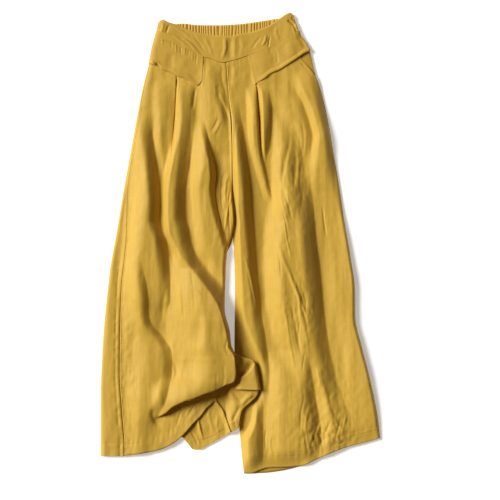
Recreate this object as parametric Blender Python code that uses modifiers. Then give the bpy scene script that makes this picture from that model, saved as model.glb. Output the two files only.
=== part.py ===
"""Linen palazzo pants laid flat on a surface, front up.

Every piece that is cut and sewn is one object: two front legs, two back legs, a smooth front
waistband, a gathered back waistband, two hip flaps and the side piece of the slant pocket.
The garment lies on z = 0 with its waist toward +Y. Left and right are the wearer's, so the
wearer's right leg lies on the -X side. Tables are in millimetres: x, y across the surface and
heights above it. The meshes are made in metres.
"""
import math

import bpy
import bmesh
import numpy as np

MM = 0.001
GARMENT = "palazzo_pants"

CLOTH = 1.3            # wall of one layer of linen, seams included
BAND_CLOTH = 2.2       # the smooth waistband, folded double
SEAM_GAP = 0.3         # air left between two pieces that are sewn together
OUTSEAM_GAP = 1.0      # the same, across the right outseam, where the cloth rounds over the side
WAIST_GAP = 0.8        # the same, along the curved waist seam
FLAP_GAP = 0.8         # air left between a flap and the front that it lies on
BACK_MIDDLE = 0.65     # middle of a back panel's wall, which lies flat on the surface
EDGE_MIDDLE = 2.6      # middle of the front cloth's wall at its outer edge
LOFT = 8.0             # how high the front cloth lies where it has no fold
TURN = 2.0             # radius of the back cloth's turn around the right side

RIM_RIGHT = 13.0       # how far in from the edge the cloth takes to round over
RIM_HIP = 20.0
RIM_LEG = 8.0
RIM_INNER = 9.0
RIM_NARROWS = (160.0, 110.0)      # y where the left rim starts to narrow, and over what length
CROTCH = 135.0         # y of the crotch point
PARTING = (12.0, 40.0)            # start of the rounded inner edges above the crotch, and length
PRESS_FADE = 0.5       # share of its radius over which a pressed place ends
SLOPE_STEP = 0.5       # distance over which a surface's slope is taken
ROLL_EASE = 0.35       # how softly a fold's fall starts and ends; the rest is steep at the foot
CROWDING = 1.7         # how strongly columns crowd toward a pleat
TRIM_REACH = 60.0      # how far from a cut edge the mesh rows are moved to meet it
BAND_RISE = 0.75       # from the middle of the front's wall to the middle of the waistband's
CORNER_ANGLES = (22.5, 45.0, 67.5)               # mesh points of the turn around the right side
OVER_SHARES = (1.0, 0.72, 0.48, 0.28, 0.13, 0.04, 0.0)      # and on to the outseam

# Outlines of the garment as it lies. Each row: y, x.
EDGES = {
    "right_outline": (
        (491, -170.7), (486, -180), (468, -183.5), (447, -190.3), (422, -196), (397, -200.2),
        (370, -207), (338, -215.2), (282, -226.2), (181, -244.6), (113, -257), (58, -266),
        (7, -274.8), (-41, -283.8), (-122, -293.7), (-187, -299.9), (-267, -304.7), (-332, -306.9),
        (-468, -307.1),),
    "right_outseam": (
        (491, -169.2), (397, -198.4), (338, -211.9), (315, -216.7), (271, -223.3), (225, -231.2),
        (181, -238.7), (113, -247.1), (58, -248.8), (7, -250.6), (-41, -255.2), (-90, -261.1),
        (-187, -264.4), (-283, -265.5), (-380, -259.6), (-444, -255), (-468, -254.8),),
    "right_inner": (
        (135, -18.9), (106, -18.9), (77, -16.7), (51, -14.7), (29, -16.7), (9, -20.9), (-8, -26.2),
        (-26, -30.4), (-52, -33.2), (-92, -33), (-145, -35), (-165, -31.5), (-187, -25.7),
        (-209, -20.9), (-239, -17.4), (-248, 2.2), (-256, 28.8), (-283, 36.7), (-303, 40.7),
        (-323, 44.7),),
    "left_inner": (
        (135, -16.7), (106, -13.4), (73, -9.5), (47, -7.9), (25, -9.9), (7, -13), (-13, -14.5),
        (-44, -11.4), (-105, -12.1), (-158, -13), (-228, -13.2), (-312, -8.8), (-398, -3.3),
        (-508, 7),),
    "left_outline": (
        (506, 109.8), (496, 118.4), (469, 128.5), (455, 130.9), (442, 141.9), (422, 152.9),
        (378, 163.9), (328, 178.9), (294, 185.7), (269, 192.3), (196, 204.8), (127, 216.3),
        (64, 225.1), (9, 235.2), (-37, 242.9), (-94, 251), (-161, 251.5), (-222, 264.7),
        (-279, 279.8), (-349, 294.8), (-429, 306.9),),
    "centre_seam": (
        (462, -34.1), (396, -31.9), (315, -25.3), (271, -19.1), (205, -18.3), (135, -17.8),),
}

# Edges that run across the garment. Each row: x, y.
ACROSS = {
    "band_top": (
        (-179.5, 485.3), (-170.7, 490.4), (-159.1, 485.1), (-144.8, 480.9), (-120.3, 470.8),
        (-93.5, 461.6), (-60.9, 456.7), (-23.1, 454.7), (-1.1, 459.1), (27.5, 465.1), (61.2, 477),
        (84.7, 492.8), (109.8, 505.8), (115.9, 499.4),),
    "waist_seam": (
        (-184.1, 465.1), (-162.8, 462.4), (-135.3, 454.3), (-112, 443.5), (-96.4, 426.6),
        (-80.7, 409.6), (-66.2, 405.9), (-53.9, 400.4), (-39.2, 396.9), (-21.3, 400.4),
        (-1.1, 405.9), (15.6, 411.8), (35.9, 418.9), (61.2, 428.8), (84.7, 442.6), (104.5, 452.5),
        (116.6, 460.9), (127.6, 466.8),),
    "right_hem": (
        (-254.8, -467.3), (-213.8, -461.6), (-176.7, -453.9), (-142.8, -436.9), (-125.8, -421.3),
        (-107.1, -399.7), (-89.1, -381.3), (-75.9, -363.7), (-55.9, -345), (-38.5, -321.2),
        (-1.1, -320.8), (44.7, -322.1),),
    "left_hem": (
        (7.3, -506.2), (25.3, -505.6), (44.2, -498.5), (62.3, -493.7), (97.9, -492.4),
        (134.2, -489.5), (168.3, -474.5), (195.6, -462.7), (225.5, -450.6), (286.4, -434.1),
        (306.9, -427.7),),
    "right_flap_hem": (
        (-200, 394.2), (-183.7, 389.8), (-176, 383.2), (-152.9, 374.4), (-140.4, 367.8),
        (-117.7, 359), (-102.3, 349.1), (-93.9, 345.2), (-83.8, 356.8),),
    "left_flap_hem": (
        (31.9, 348.7), (53.9, 361.2), (64.9, 370.5), (89.5, 382.1), (108.9, 394.9), (131.8, 410.7),
        (141.5, 417.6), (152.9, 422.4),),
    "back_band_top": (
        (-165, 477.8), (-142.8, 482.2), (-125.8, 482.9), (-97.9, 479.8), (-50.2, 479.2),
        (-23.1, 480.3), (-1.1, 481.8), (27.5, 485.3), (61.2, 490.4), (84.7, 493.7), (95.7, 494.3),),
    "back_band_seam": (
        (-165, 436), (-122.1, 431.6), (-67.1, 428.1), (-1.1, 430.3), (60.5, 439.1), (95.7, 450.3),),
    "left_back_hem": (
        (7.3, -506.4), (44.2, -505.6), (84.5, -501.2), (134.9, -488.8), (196.9, -456.1),
        (229.9, -444), (284.9, -429.7), (305.6, -423.3),),
}

# Folds of the front cloth. Each has a name, the width over which it rises from its left foot,
# the width over which it falls to its right foot, and rows: y, x of the left foot, x of the
# right foot, height.
FOLDS = (
    ("side ridge", 55, 29, (
        (306, -248, -182, 0), (271, -252, -188, 8), (242, -254, -191, 15), (212, -254, -188, 20),
        (172, -254, -182, 22), (124, -254, -176, 24), (88, -256, -175, 24), (51, -261, -177, 23),
        (29, -263, -170, 23), (7, -265, -162, 23), (-37, -270, -160, 22), (-81, -274, -156, 18),
        (-125, -270, -157, 12), (-160, -265, -164, 5), (-191, -261, -168, 0))),
    ("pleat ridge", 9, 31, (
        (355, -145, -107, 0), (328, -146, -105, 3.5), (297, -148, -105, 5.5), (249, -152, -109, 7),
        (205, -155, -112, 7), (165, -162, -118, 4), (139, -166, -122, 0))),
    ("middle ridge", 26, 31, (
        (350, -182, -107, 0), (315, -182, -105, 3), (271, -182, -108, 5), (227, -182, -111, 7),
        (194, -179, -113, 11), (165, -177, -118, 15), (132, -175, -124, 20), (95, -177, -125, 22),
        (62, -177, -122, 22), (29, -175, -116, 22), (0, -164, -109, 20), (-26, -151, -99, 15),
        (-55, -142, -82, 0))),
    ("inner ridge", 35, 15, (
        (271, -111, -78, 0), (238, -111, -69, 10), (205, -111, -61, 16), (172, -113, -52, 19),
        (143, -118, -51, 18), (117, -120, -53, 15), (84, -120, -51, 13), (51, -116, -44, 12),
        (18, -111, -34, 11), (-15, -105, -25, 10), (-41, -89, -21, 9), (-81, -72, -19, 7),
        (-116, -54, -19, 4), (-143, -41, -19, 0))),
    ("knee mound", 121, 31, (
        (7, -199, -131, 0), (-19, -199, -118, 7), (-41, -199, -94, 15), (-63, -199, -73, 22),
        (-85, -199, -54, 27), (-105, -197, -40, 30), (-132, -193, -21, 32), (-165, -188, -6, 34),
        (-202, -177, 8, 35), (-239, -168, 12, 35), (-266, -164, 12, 32), (-283, -166, 10, 22),
        (-301, -177, 6, 8), (-314, -182, -1, 0))),
    ("mound lip", 99, 15, (
        (-253, -168, 3, 0), (-270, -164, 1, 4), (-283, -166, 1, 12), (-292, -173, -1, 20),
        (-301, -182, -25, 22), (-312, -190, -50, 20), (-325, -199, -78, 16),
        (-341, -208, -116, 12), (-356, -208, -142, 9), (-369, -206, -164, 5),
        (-385, -204, -177, 0))),
    ("mound end", 26, 15, (
        (-301, -197, -25, 0), (-319, -199, -65, 5), (-341, -199, -116, 9), (-356, -197, -142, 10),
        (-369, -195, -162, 8), (-382, -193, -177, 0))),
    ("hem ridge", 66, 22, (
        (-28, -265, -230, 0), (-63, -267, -219, 7), (-103, -267, -206, 11), (-143, -267, -195, 12),
        (-182, -267, -184, 12), (-209, -265, -166, 13), (-235, -263, -151, 15),
        (-261, -261, -143, 16), (-290, -261, -146, 16), (-323, -261, -161, 15),
        (-345, -258, -175, 14), (-367, -256, -183, 11), (-389, -254, -185, 7),
        (-411, -252, -184, 0))),
    ("outer hem ridge", 35, 13, (
        (-301, -261, -212, 0), (-334, -261, -208, 4), (-389, -261, -208, 5), (-444, -261, -208, 4),
        (-477, -261, -208, 3))),
    ("centre ridge", 31, 26, (
        (403, -98, -41, 0), (370, -98, -41, 6), (326, -98, -32, 8), (282, -98, -19, 8),
        (249, -98, -14, 7), (216, -94, -10, 4), (192, -89, -10, 0))),
    ("inner left ridge", 18, 22, (
        (315, -32, -1, 0), (282, -28, 0, 7), (249, -23, 3, 12), (205, -21, 12, 16),
        (161, -21, 18, 19), (117, -19, 23, 20), (73, -19, 28, 20), (29, -16, 32, 20),
        (-15, -14, 34, 19), (-59, -12, 37, 18), (-103, -10, 41, 16), (-147, -8, 45, 14),
        (-191, -1, 48, 10), (-224, 6, 52, 5), (-257, 12, 56, 0))),
    ("left pleat strip", 15, 11, (
        (344, 7, 36, 0), (324, 9, 36, 5), (297, 12, 38, 9), (260, 14, 41, 11), (223, 19, 43, 10),
        (183, 28, 50, 8), (139, 38, 61, 6), (106, 47, 69, 4), (77, 56, 78, 0))),
    ("left pleat ridge", 9, 20, (
        (344, 38, 67, 0), (322, 38, 68, 6), (293, 41, 70, 10), (253, 41, 67, 12),
        (216, 41, 62, 11), (187, 43, 58, 7), (161, 47, 58, 0))),
    ("left hip ridge", 26, 37, (
        (293, 67, 113, 0), (260, 67, 118, 6), (216, 67, 131, 10), (172, 65, 138, 12),
        (128, 65, 138, 11), (84, 65, 133, 7), (51, 69, 127, 0))),
    ("pocket ridge", 35, 20, (
        (363, 56, 96, 0), (333, 65, 122, 4), (306, 74, 136, 7.5), (275, 87, 150, 9),
        (240, 102, 161, 9), (214, 111, 160, 7), (187, 118, 157, 0))),
    ("left side ridge", 18, 31, (
        (368, 124, 182, 0), (346, 129, 190, 3), (322, 133, 198, 7), (293, 140, 206, 11),
        (249, 148, 215, 13), (205, 153, 223, 12), (161, 153, 228, 8), (117, 155, 232, 4),
        (84, 157, 232, 0))),
    ("main left ridge", 57, 44, (
        (157, 69, 155, 0), (121, 65, 157, 9), (88, 58, 162, 16), (51, 52, 164, 20),
        (7, 47, 168, 22), (-37, 45, 174, 23), (-92, 47, 180, 23), (-136, 52, 184, 21),
        (-180, 61, 189, 18), (-224, 74, 195, 15), (-257, 87, 201, 11), (-297, 109, 210, 6),
        (-336, 131, 221, 0))),
    ("lower side ridge", 35, 31, (
        (-222, 144, 195, 0), (-257, 144, 204, 5), (-297, 148, 210, 8), (-334, 153, 219, 10),
        (-367, 157, 232, 12), (-400, 162, 241, 12), (-426, 166, 241, 11), (-455, 166, 237, 8),
        (-481, 166, 232, 6))),
    ("left hem ridge", 40, 44, (
        (-235, 47, 140, 0), (-275, 47, 153, 8), (-312, 47, 162, 13), (-367, 47, 164, 15),
        (-422, 50, 164, 14), (-473, 52, 164, 9), (-512, 52, 164, 6))),
    ("inner hem ridge", 18, 31, (
        (-336, -10, 38, 0), (-363, -6, 43, 7), (-400, -3, 47, 12), (-433, -1, 47, 13),
        (-473, 3, 47, 10), (-512, 6, 47, 6))),
    ("turned tail", 20, 11, (
        (-226, -32, 8, 0), (-248, -30, 34, 7), (-261, -28, 52, 11), (-288, -14, 65, 14),
        (-327, -23, 69, 14))),
)

# Pleats that are tucked in above the knee. Each has half the width of the tuck, how far its lip
# leans over it, and rows: y, x, share of the full depth.
PLEATS = (
    (7.0, 2.4, ((352, -142, 0), (334, -143, 1), (290, -145.5, 1), (225, -150.5, 1),
                (185, -154, 0.6), (150, -160, 0))),
    (6.6, 2.0, ((350, 34, 0), (336, 35, 1), (300, 36, 1), (260, 38.5, 1), (215, 41.5, 0.8),
                (165, 47, 0))),
)

# Lowest height of the front cloth's edges. Each row: y, height.
LOW_RIGHT_INNER = ((-500, 15), (-262, 15), (-251, 14), (-246, 12), (-225, 2.6), (500, 2.6))
LOW_LEFT_OUTER = ((-500, 2.2), (325, 2.2), (355, 5.0), (500, 5.0))

# Where the other leg's hem lies on the front cloth and presses it down. Each row: x, y, radius
# along x, radius along y, height.
PRESSED = (
    (10, -320, 46, 90, 4.4),
    (2, -380, 28, 60, 4.4),
)

# Sections of each piece, from the waist down: the number of mesh rows to the next section, then
# the points (x, y) that the section passes through, from -X to +X.
SECTIONS = {
    "front_right": (
        (2, (-179.5, 462.4), (-123.2, 448.1), (-80.7, 409.6), (-45.1, 398), (-32.3, 396.4)),
        (3, (-203.1, 376.6), (-137.5, 367.8), (-84.7, 359), (-42.9, 348), (-27.5, 341.4)),
        (4, (-218.5, 304), (-143.2, 304), (-86.9, 299.6), (-36.3, 295.2), (-22.9, 293)),
        (3, (-234.5, 205), (-152.2, 205), (-91.3, 202.8), (-31.9, 200.6), (-18.9, 200.6)),
        (4, (-244.6, 134.6), (-161.7, 134.6), (-93.5, 132.4), (-30.8, 132.4), (-18.9, 130.2)),
        (3, (-249.3, 46.6), (-170.5, 46.6), (-95.7, 44.4), (-26.2, 42.2), (-15.2, 42.2)),
        (5, (-254.1, -26), (-176, -26), (-102.3, -28.2), (-41.1, -28.2), (-30.6, -28.2)),
        (2, (-263.1, -144.8), (-181.5, -144.8), (-108.9, -144.8), (-47.3, -144.8), (-35, -144.8)),
        (2, (-264.4, -191), (-183.3, -191), (-109.8, -191), (-38.5, -191), (-24.4, -191)),
        (2, (-265.1, -235), (-183.7, -235), (-111.1, -235), (-30.8, -235), (-17.8, -235)),
        (2, (-265.5, -272.4), (-184.8, -268), (-115.5, -259.2), (-24.2, -251.5), (5.5, -249.5)),
        (3, (-265.1, -309.8), (-185.9, -303.2), (-118.8, -287.8), (-19.8, -266.9), (31, -259.2)),
        (3, (-261.8, -358.2), (-187, -361.5), (-124.3, -327.4), (-16.5, -284.5), (37.6, -287.8)),
        (4, (-259.4, -389), (-182.6, -386.8), (-117.7, -353.8), (-31.9, -303.2), (40.7, -303.2)),
        (0, (-254.8, -467.3), (-194.7, -458.3), (-125.8, -421.3), (-38.5, -321.2), (44.7, -322.1)),
    ),
    "front_left": (
        (2, (-31.5, 396.4), (29.7, 415.1), (78.1, 437.1), (100.1, 450.3)),
        (2, (-28.8, 363.4), (31, 370), (89.1, 389.8), (131.8, 407.7)),
        (2, (-24.6, 315), (34.1, 321.6), (97.9, 337), (167.4, 361.2)),
        (3, (-18.9, 260), (36.3, 266.6), (108.9, 273.2), (192.3, 268.8)),
        (3, (-17.8, 200.6), (40.3, 205), (113.3, 205), (203.3, 205)),
        (4, (-16.7, 132.4), (49.5, 132.4), (122.1, 132.4), (215.4, 132.4)),
        (3, (-7.9, 46.6), (60.5, 46.6), (130.9, 46.6), (228.4, 46.6)),
        (4, (-14.1, -15), (56.1, -17.2), (133.1, -21.6), (240.5, -23.8)),
        (5, (-11.7, -105.2), (56.1, -109.6), (141.9, -111.8), (251.5, -109.6)),
        (3, (-13.2, -228.4), (60.5, -228.4), (157.3, -226.2), (266, -226.2)),
        (3, (-8.8, -312), (60.5, -312), (166.1, -305.4), (286.2, -305.4)),
        (4, (-2.9, -400), (56.1, -400), (170.5, -389), (301.2, -380.2)),
        (0, (7.3, -506), (56.1, -494.6), (170.5, -473.7), (306.9, -427.7)),
    ),
    "back_right": (
        (2, (-191.4, 433.8), (-144.1, 431.6), (-111.1, 430.3), (-82.5, 428.8), (-56.1, 428.1),
        (-18, 428.8)),
        (2, (-215.8, 326), (-155.1, 326), (-115.5, 326), (-84.7, 326), (-58.3, 326), (-18, 326)),
        (2, (-239.8, 205), (-166.1, 205), (-122.1, 205), (-89.1, 205), (-60.5, 205), (-18, 205)),
        (1, (-266, 57.6), (-177.1, 57.6), (-128.7, 57.6), (-91.3, 57.6), (-62.7, 57.6),
        (-18, 57.6)),
        (1, (-274.3, 9.2), (-181.5, 9.2), (-130.9, 9.2), (-95.7, 9.2), (-67.1, 9.2), (-20.5, 9.2)),
        (2, (-282.3, -32.6), (-188.1, -32.6), (-133.1, -32.6), (-100.1, -32.6), (-71.5, -32.6),
        (-33.2, -32.6)),
        (2, (-296.1, -147), (-199.1, -147), (-137.5, -147), (-104.5, -147), (-75.9, -147),
        (-37, -147)),
        (1, (-302.9, -235), (-205.7, -235), (-137.5, -235), (-104.5, -235), (-75.9, -235),
        (-21.8, -235)),
        (2, (-304.3, -261.4), (-205.7, -261.4), (-137.5, -257), (-104.5, -254.8), (-75.9, -253.7),
        (-17.6, -251.5)),
        (2, (-305.8, -309.8), (-207.9, -307.6), (-135.3, -296.6), (-104.5, -292.2),
        (-75.9, -285.6), (14.3, -268)),
        (2, (-306.9, -356), (-210.1, -356), (-133.1, -349.4), (-104.5, -349.4), (-78.1, -345),
        (39.8, -325.2)),
        (2, (-306.9, -411), (-212.3, -408.8), (-130.9, -389), (-104.5, -400), (-82.5, -397.8),
        (3.3, -369.2)),
        (0, (-307.1, -467.7), (-214.5, -458.3), (-127.4, -426.1), (-105.8, -453.4),
        (-87.3, -453.4), (-3.7, -405.7)),
    ),
    "back_left": (
        (2, (-17.4, 429.4), (47.3, 436.5), (86.9, 447), (125.4, 456.9)),
        (3, (-17.4, 359), (53.9, 359), (108.9, 359), (166.5, 359)),
        (3, (-17.4, 205), (53.9, 205), (126.5, 205), (201.1, 205)),
        (1, (-17.4, 57.6), (60.5, 57.6), (141.9, 57.6), (224, 57.6)),
        (1, (-16.7, 11.4), (60.5, 11.4), (148.5, 11.4), (232.5, 11.4)),
        (2, (-11.7, -28.2), (60.5, -28.2), (152.9, -28.2), (239.6, -28.2)),
        (2, (-11.2, -147), (64.9, -147), (157.3, -147), (249.7, -147)),
        (2, (-12.1, -228.4), (69.3, -228.4), (163.9, -228.4), (264.2, -228.4)),
        (3, (-5.9, -345), (69.3, -345), (170.5, -345), (292.2, -345)),
        (0, (7.3, -506.4), (84.5, -501.2), (196.9, -456.1), (305.6, -423.3)),
    ),
    "front_waistband": (
        (3, (-179.5, 485.3), (-120.3, 470.8), (-60.9, 456.7), (-1.1, 459.1), (61.2, 477),
        (115.9, 499.4)),
        (0, (-184.1, 465.1), (-130.9, 453.6), (-66.2, 405.9), (-1.1, 405.9), (69.3, 433.8),
        (127.6, 466.8)),
    ),
    "back_waistband": (
        (3, (-165, 477.8), (-34.1, 480), (95.7, 494.3)),
        (0, (-165, 436), (-34.1, 429), (95.7, 450.3)),
    ),
    "right_hip_flap": (
        (3, (-183.7, 464.9), (-133.1, 453.6), (-81.6, 410.3)),
        (3, (-193.6, 431.6), (-135.3, 409.6), (-82.5, 381)),
        (0, (-200, 394.2), (-137.5, 366.7), (-83.8, 356.8)),
    ),
    "left_hip_flap": (
        (3, (16.5, 411.8), (73.7, 436), (127.6, 466.8)),
        (3, (24.9, 378.8), (82.5, 408.5), (141.9, 442.4)),
        (0, (31.9, 348.7), (93.5, 384.3), (152.9, 422.4)),
    ),
    "left_pocket_side": (
        (3, (95.7, 433.8), (138.6, 438.2)),
        (4, (108.9, 396.4), (156.2, 403)),
        (0, (130.9, 350.2), (168.7, 356.8)),
    ),
}

# Where the turned-up end of the right back leg climbs over the left leg: x and y where it starts,
# how far it takes along each, and how high it lies.
CLIMB = {"x": -35.0, "y": -238.0, "along_x": 17.0, "along_y": 13.0, "height": 7.0}

GATHERS = 41           # folds of the elastic waistband
GATHER_DEPTH = 1.4
ELASTIC_BAND = 4.4     # thickness of the elastic waistband between its gathers
ELASTIC_END = 1.8      # its thickness at the side seams
END_TAPER = 22.0       # length over which the elastic band thins toward the side seams
GATHER_EDGE = 0.45     # depth of the gathers at the band's long edges, as a share of the middle's

ROUGHNESS = 0.9
MUSTARD = (0.68, 0.47, 0.10, 1.0)
MUSTARD_BAND = (0.66, 0.45, 0.10, 1.0)
MUSTARD_INSIDE = (0.58, 0.38, 0.07, 1.0)


def smooth(table, position, value=1):
    """Read a table's column by its first one, with a curve that never overshoots its rows."""
    rows = sorted(table)
    at = np.array([row[0] for row in rows], float)
    read = np.array([row[value] for row in rows], float)
    step = np.diff(at)
    slope = np.diff(read) / step
    tangent = np.zeros(len(at))
    tangent[0] = slope[0]
    tangent[-1] = slope[-1]
    for i in range(1, len(at) - 1):
        before = slope[i - 1]
        after = slope[i]
        if before * after > 0:
            near = 2 * step[i] + step[i - 1]
            far = step[i] + 2 * step[i - 1]
            tangent[i] = (near + far) / (near / before + far / after)
    position = np.clip(np.asarray(position, float), at[0], at[-1])
    i = np.clip(np.searchsorted(at, position, side="right") - 1, 0, len(step) - 1)
    t = (position - at[i]) / step[i]
    start = (1 + 2 * t) * (1 - t) ** 2 * read[i] + t * (1 - t) ** 2 * step[i] * tangent[i]
    end = t * t * (3 - 2 * t) * read[i + 1] + t * t * (t - 1) * step[i] * tangent[i + 1]
    return start + end


def ease(t):
    """Go from 0 to 1 with a soft start and a soft end."""
    t = np.clip(t, 0.0, 1.0)
    return t * t * (3 - 2 * t)


def rounded(t):
    """Height of a rounded edge, from 0 at the edge to 1 where the cloth lies level."""
    t = np.clip(t, 0.0, 1.0)
    return np.sqrt(1 - (1 - t) ** 2)


def edge_x(name, y):
    """Where an outline crosses the height y of the layout."""
    return smooth(EDGES[name], y)


def across_y(name, x):
    """Where an edge that runs across the garment crosses x."""
    return smooth(ACROSS[name], x)


def roll(t):
    """Go from 0 to 1, steep at the foot and softly rounded at the crest."""
    t = np.clip(t, 0.0, 1.0)
    return ROLL_EASE * ease(t) + (1 - ROLL_EASE) * t * (2 - t)


def fold_height(x, y):
    """Sum of all folds of the front cloth over its level height."""
    height = np.zeros_like(x)
    for _, rise, fall, rows in FOLDS:
        left = smooth(rows, y, 1)
        right = smooth(rows, y, 2)
        crest = smooth(rows, y, 3)
        height += crest * ease((x - left) / rise) * roll((right - x) / fall)
    return height


def pressed(x, y, height):
    """Hold the cloth down where the other leg lies on it."""
    for centre_x, centre_y, radius_x, radius_y, level in PRESSED:
        away = np.hypot((x - centre_x) / radius_x, (y - centre_y) / radius_y)
        free = ease((away - 1.0) / PRESS_FADE)
        height = np.minimum(height, level + free * np.maximum(height - level, 0))
    return height


def below_crotch(y):
    """How fully the inner edges of the legs are rounded, from 0 above the crotch to 1 below."""
    above, length = PARTING
    return ease((CROTCH + above - y) / length)


def right_front(x, y):
    """Height of the wall's middle over the right half of the front."""
    height = LOFT + fold_height(x, y)
    low = smooth(LOW_RIGHT_INNER, y)
    outer = rounded((x - edge_x("right_outline", y)) / RIM_RIGHT)
    inner = rounded((edge_x("right_inner", y) - x) / RIM_INNER)
    inner = 1 - below_crotch(y) * (1 - inner)
    middle = EDGE_MIDDLE + (height - EDGE_MIDDLE) * outer
    return low + (middle - low) * inner


def left_front(x, y):
    """Height of the wall's middle over the left half of the front."""
    height = pressed(x, y, LOFT + fold_height(x, y))
    low = smooth(LOW_LEFT_OUTER, y)
    start, length = RIM_NARROWS
    rim = RIM_HIP - (RIM_HIP - RIM_LEG) * ease((start - y) / length)
    outer = rounded((edge_x("left_outline", y) - x) / rim)
    inner = rounded((x - edge_x("left_inner", y)) / RIM_INNER)
    inner = 1 - below_crotch(y) * (1 - inner)
    middle = low + (height - low) * outer
    return EDGE_MIDDLE + (middle - EDGE_MIDDLE) * inner


def whole_front(x, y):
    """Height of the front cloth on both sides of its centre seam."""
    return np.where(x < edge_x("centre_seam", y), right_front(x, y), left_front(x, y))


def even(count):
    """Column places that are evenly spread over a span, without its end."""
    return tuple(k / count for k in range(count))


def closing(count):
    """Column places that crowd toward the end of a span, without its end."""
    return tuple(1 - (1 - k / count) ** CROWDING for k in range(count))


def opening(count):
    """Column places that crowd toward the start of a span, without its end."""
    return tuple((k / count) ** CROWDING for k in range(count))


def lay_out(piece, spans):
    """Spread a piece's mesh points between its sections. Returns their x and y as grids."""
    sections = SECTIONS[piece]
    points = np.array([row[1:] for row in sections], float)
    steps = np.linalg.norm(np.diff(points, axis=0), axis=2).mean(axis=1)
    stations = np.concatenate(([0.0], np.cumsum(steps)))
    places = []
    for index, row in enumerate(sections[:-1]):
        for k in range(row[0]):
            places.append(stations[index] + steps[index] * k / row[0])
    places.append(stations[-1])
    anchors = np.zeros((len(places), points.shape[1], 2))
    for anchor in range(points.shape[1]):
        for axis in range(2):
            table = tuple(zip(stations, points[:, anchor, axis]))
            anchors[:, anchor, axis] = smooth(table, places)
    columns = []
    for span, fractions in enumerate(spans):
        for fraction in fractions:
            columns.append(anchors[:, span] * (1 - fraction) + anchors[:, span + 1] * fraction)
    columns.append(anchors[:, -1])
    grid = np.stack(columns, axis=1)
    return grid[..., 0], grid[..., 1]


def trim(x, y, top=None, bottom=None, gap=0.0):
    """Bring a piece's first and last rows onto the edges that they are cut to."""
    if top:
        move = across_y(top, x[0]) - gap - y[0]
        y = y + move * ease(1 - (y[0] - y) / TRIM_REACH)
    if bottom:
        move = across_y(bottom, x[-1]) - y[-1]
        y = y + move * ease(1 - (y - y[-1]) / TRIM_REACH)
    return y


def moved_out(surface, x, y, distance):
    """Points of a surface moved out along its normals."""
    step = SLOPE_STEP
    slope_x = (surface(x + step, y) - surface(x - step, y)) / (2 * step)
    slope_y = (surface(x, y + step) - surface(x, y - step)) / (2 * step)
    length = np.sqrt(slope_x ** 2 + slope_y ** 2 + 1)
    z = surface(x, y) + distance / length
    return x - slope_x * distance / length, y - slope_y * distance / length, z


def tuck(x, y):
    """Lean each pleat's lip over its tuck."""
    for half, lean, rows in PLEATS:
        t = np.clip((x - smooth(rows, y, 1)) / half, -1, 1)
        x = x - lean * smooth(rows, y, 2) * np.sin(math.pi * t)
    return x


def linen(name, colour):
    """A plain cloth material of one colour."""
    material = bpy.data.materials.new(name)
    material.use_nodes = True
    shader = material.node_tree.nodes["Principled BSDF"]
    shader.inputs["Base Color"].default_value = colour
    shader.inputs["Roughness"].default_value = ROUGHNESS
    material.diffuse_color = colour
    return material


def sheet(name, x, y, z):
    """An open grid whose points are moved to the given places, first row toward the waist."""
    rows, columns = x.shape
    bpy.ops.mesh.primitive_grid_add(x_subdivisions=columns - 1, y_subdivisions=rows - 1, size=1)
    piece = bpy.context.object
    piece.name = name
    piece.data.name = name
    places = np.stack([x, y, z], axis=2)[::-1] * MM
    piece.data.vertices.foreach_set("co", places.reshape(-1))
    piece.data.update()
    return piece


def thicken(piece, wall):
    """Give an open sheet its wall, half to each side of its middle."""
    solid = piece.modifiers.new("wall", "SOLIDIFY")
    solid.thickness = wall * MM
    solid.offset = 0.0
    return piece


def finish(piece, material, collection):
    """Dress a piece and put it in the garment's collection."""
    piece.data.materials.clear()
    piece.data.materials.append(material)
    for holder in list(piece.users_collection):
        holder.objects.unlink(piece)
    collection.objects.link(piece)
    return piece


def front_leg_right():
    """The right front leg: outseam to centre seam, with the mound above its turned hem."""
    x, y = lay_out("front_right", (closing(9), opening(7), even(6), even(5)))
    y = trim(x, y, top="waist_seam", bottom="right_hem", gap=WAIST_GAP)
    x[:, 0] = edge_x("right_outseam", y[:, 0]) + OUTSEAM_GAP / 2
    x[:, -1] -= SEAM_GAP / 2
    z = right_front(x, y)
    return thicken(sheet("front_leg_right", tuck(x, y), y, z), CLOTH)


def front_leg_left():
    """The left front leg: centre seam to side seam, cut away along the slant pocket."""
    x, y = lay_out("front_left", (closing(6), opening(10), even(11)))
    y = trim(x, y, top="waist_seam", bottom="left_hem", gap=WAIST_GAP)
    x[:, 0] += SEAM_GAP / 2
    z = left_front(x, y)
    return thicken(sheet("front_leg_left", tuck(x, y), y, z), CLOTH)


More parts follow.
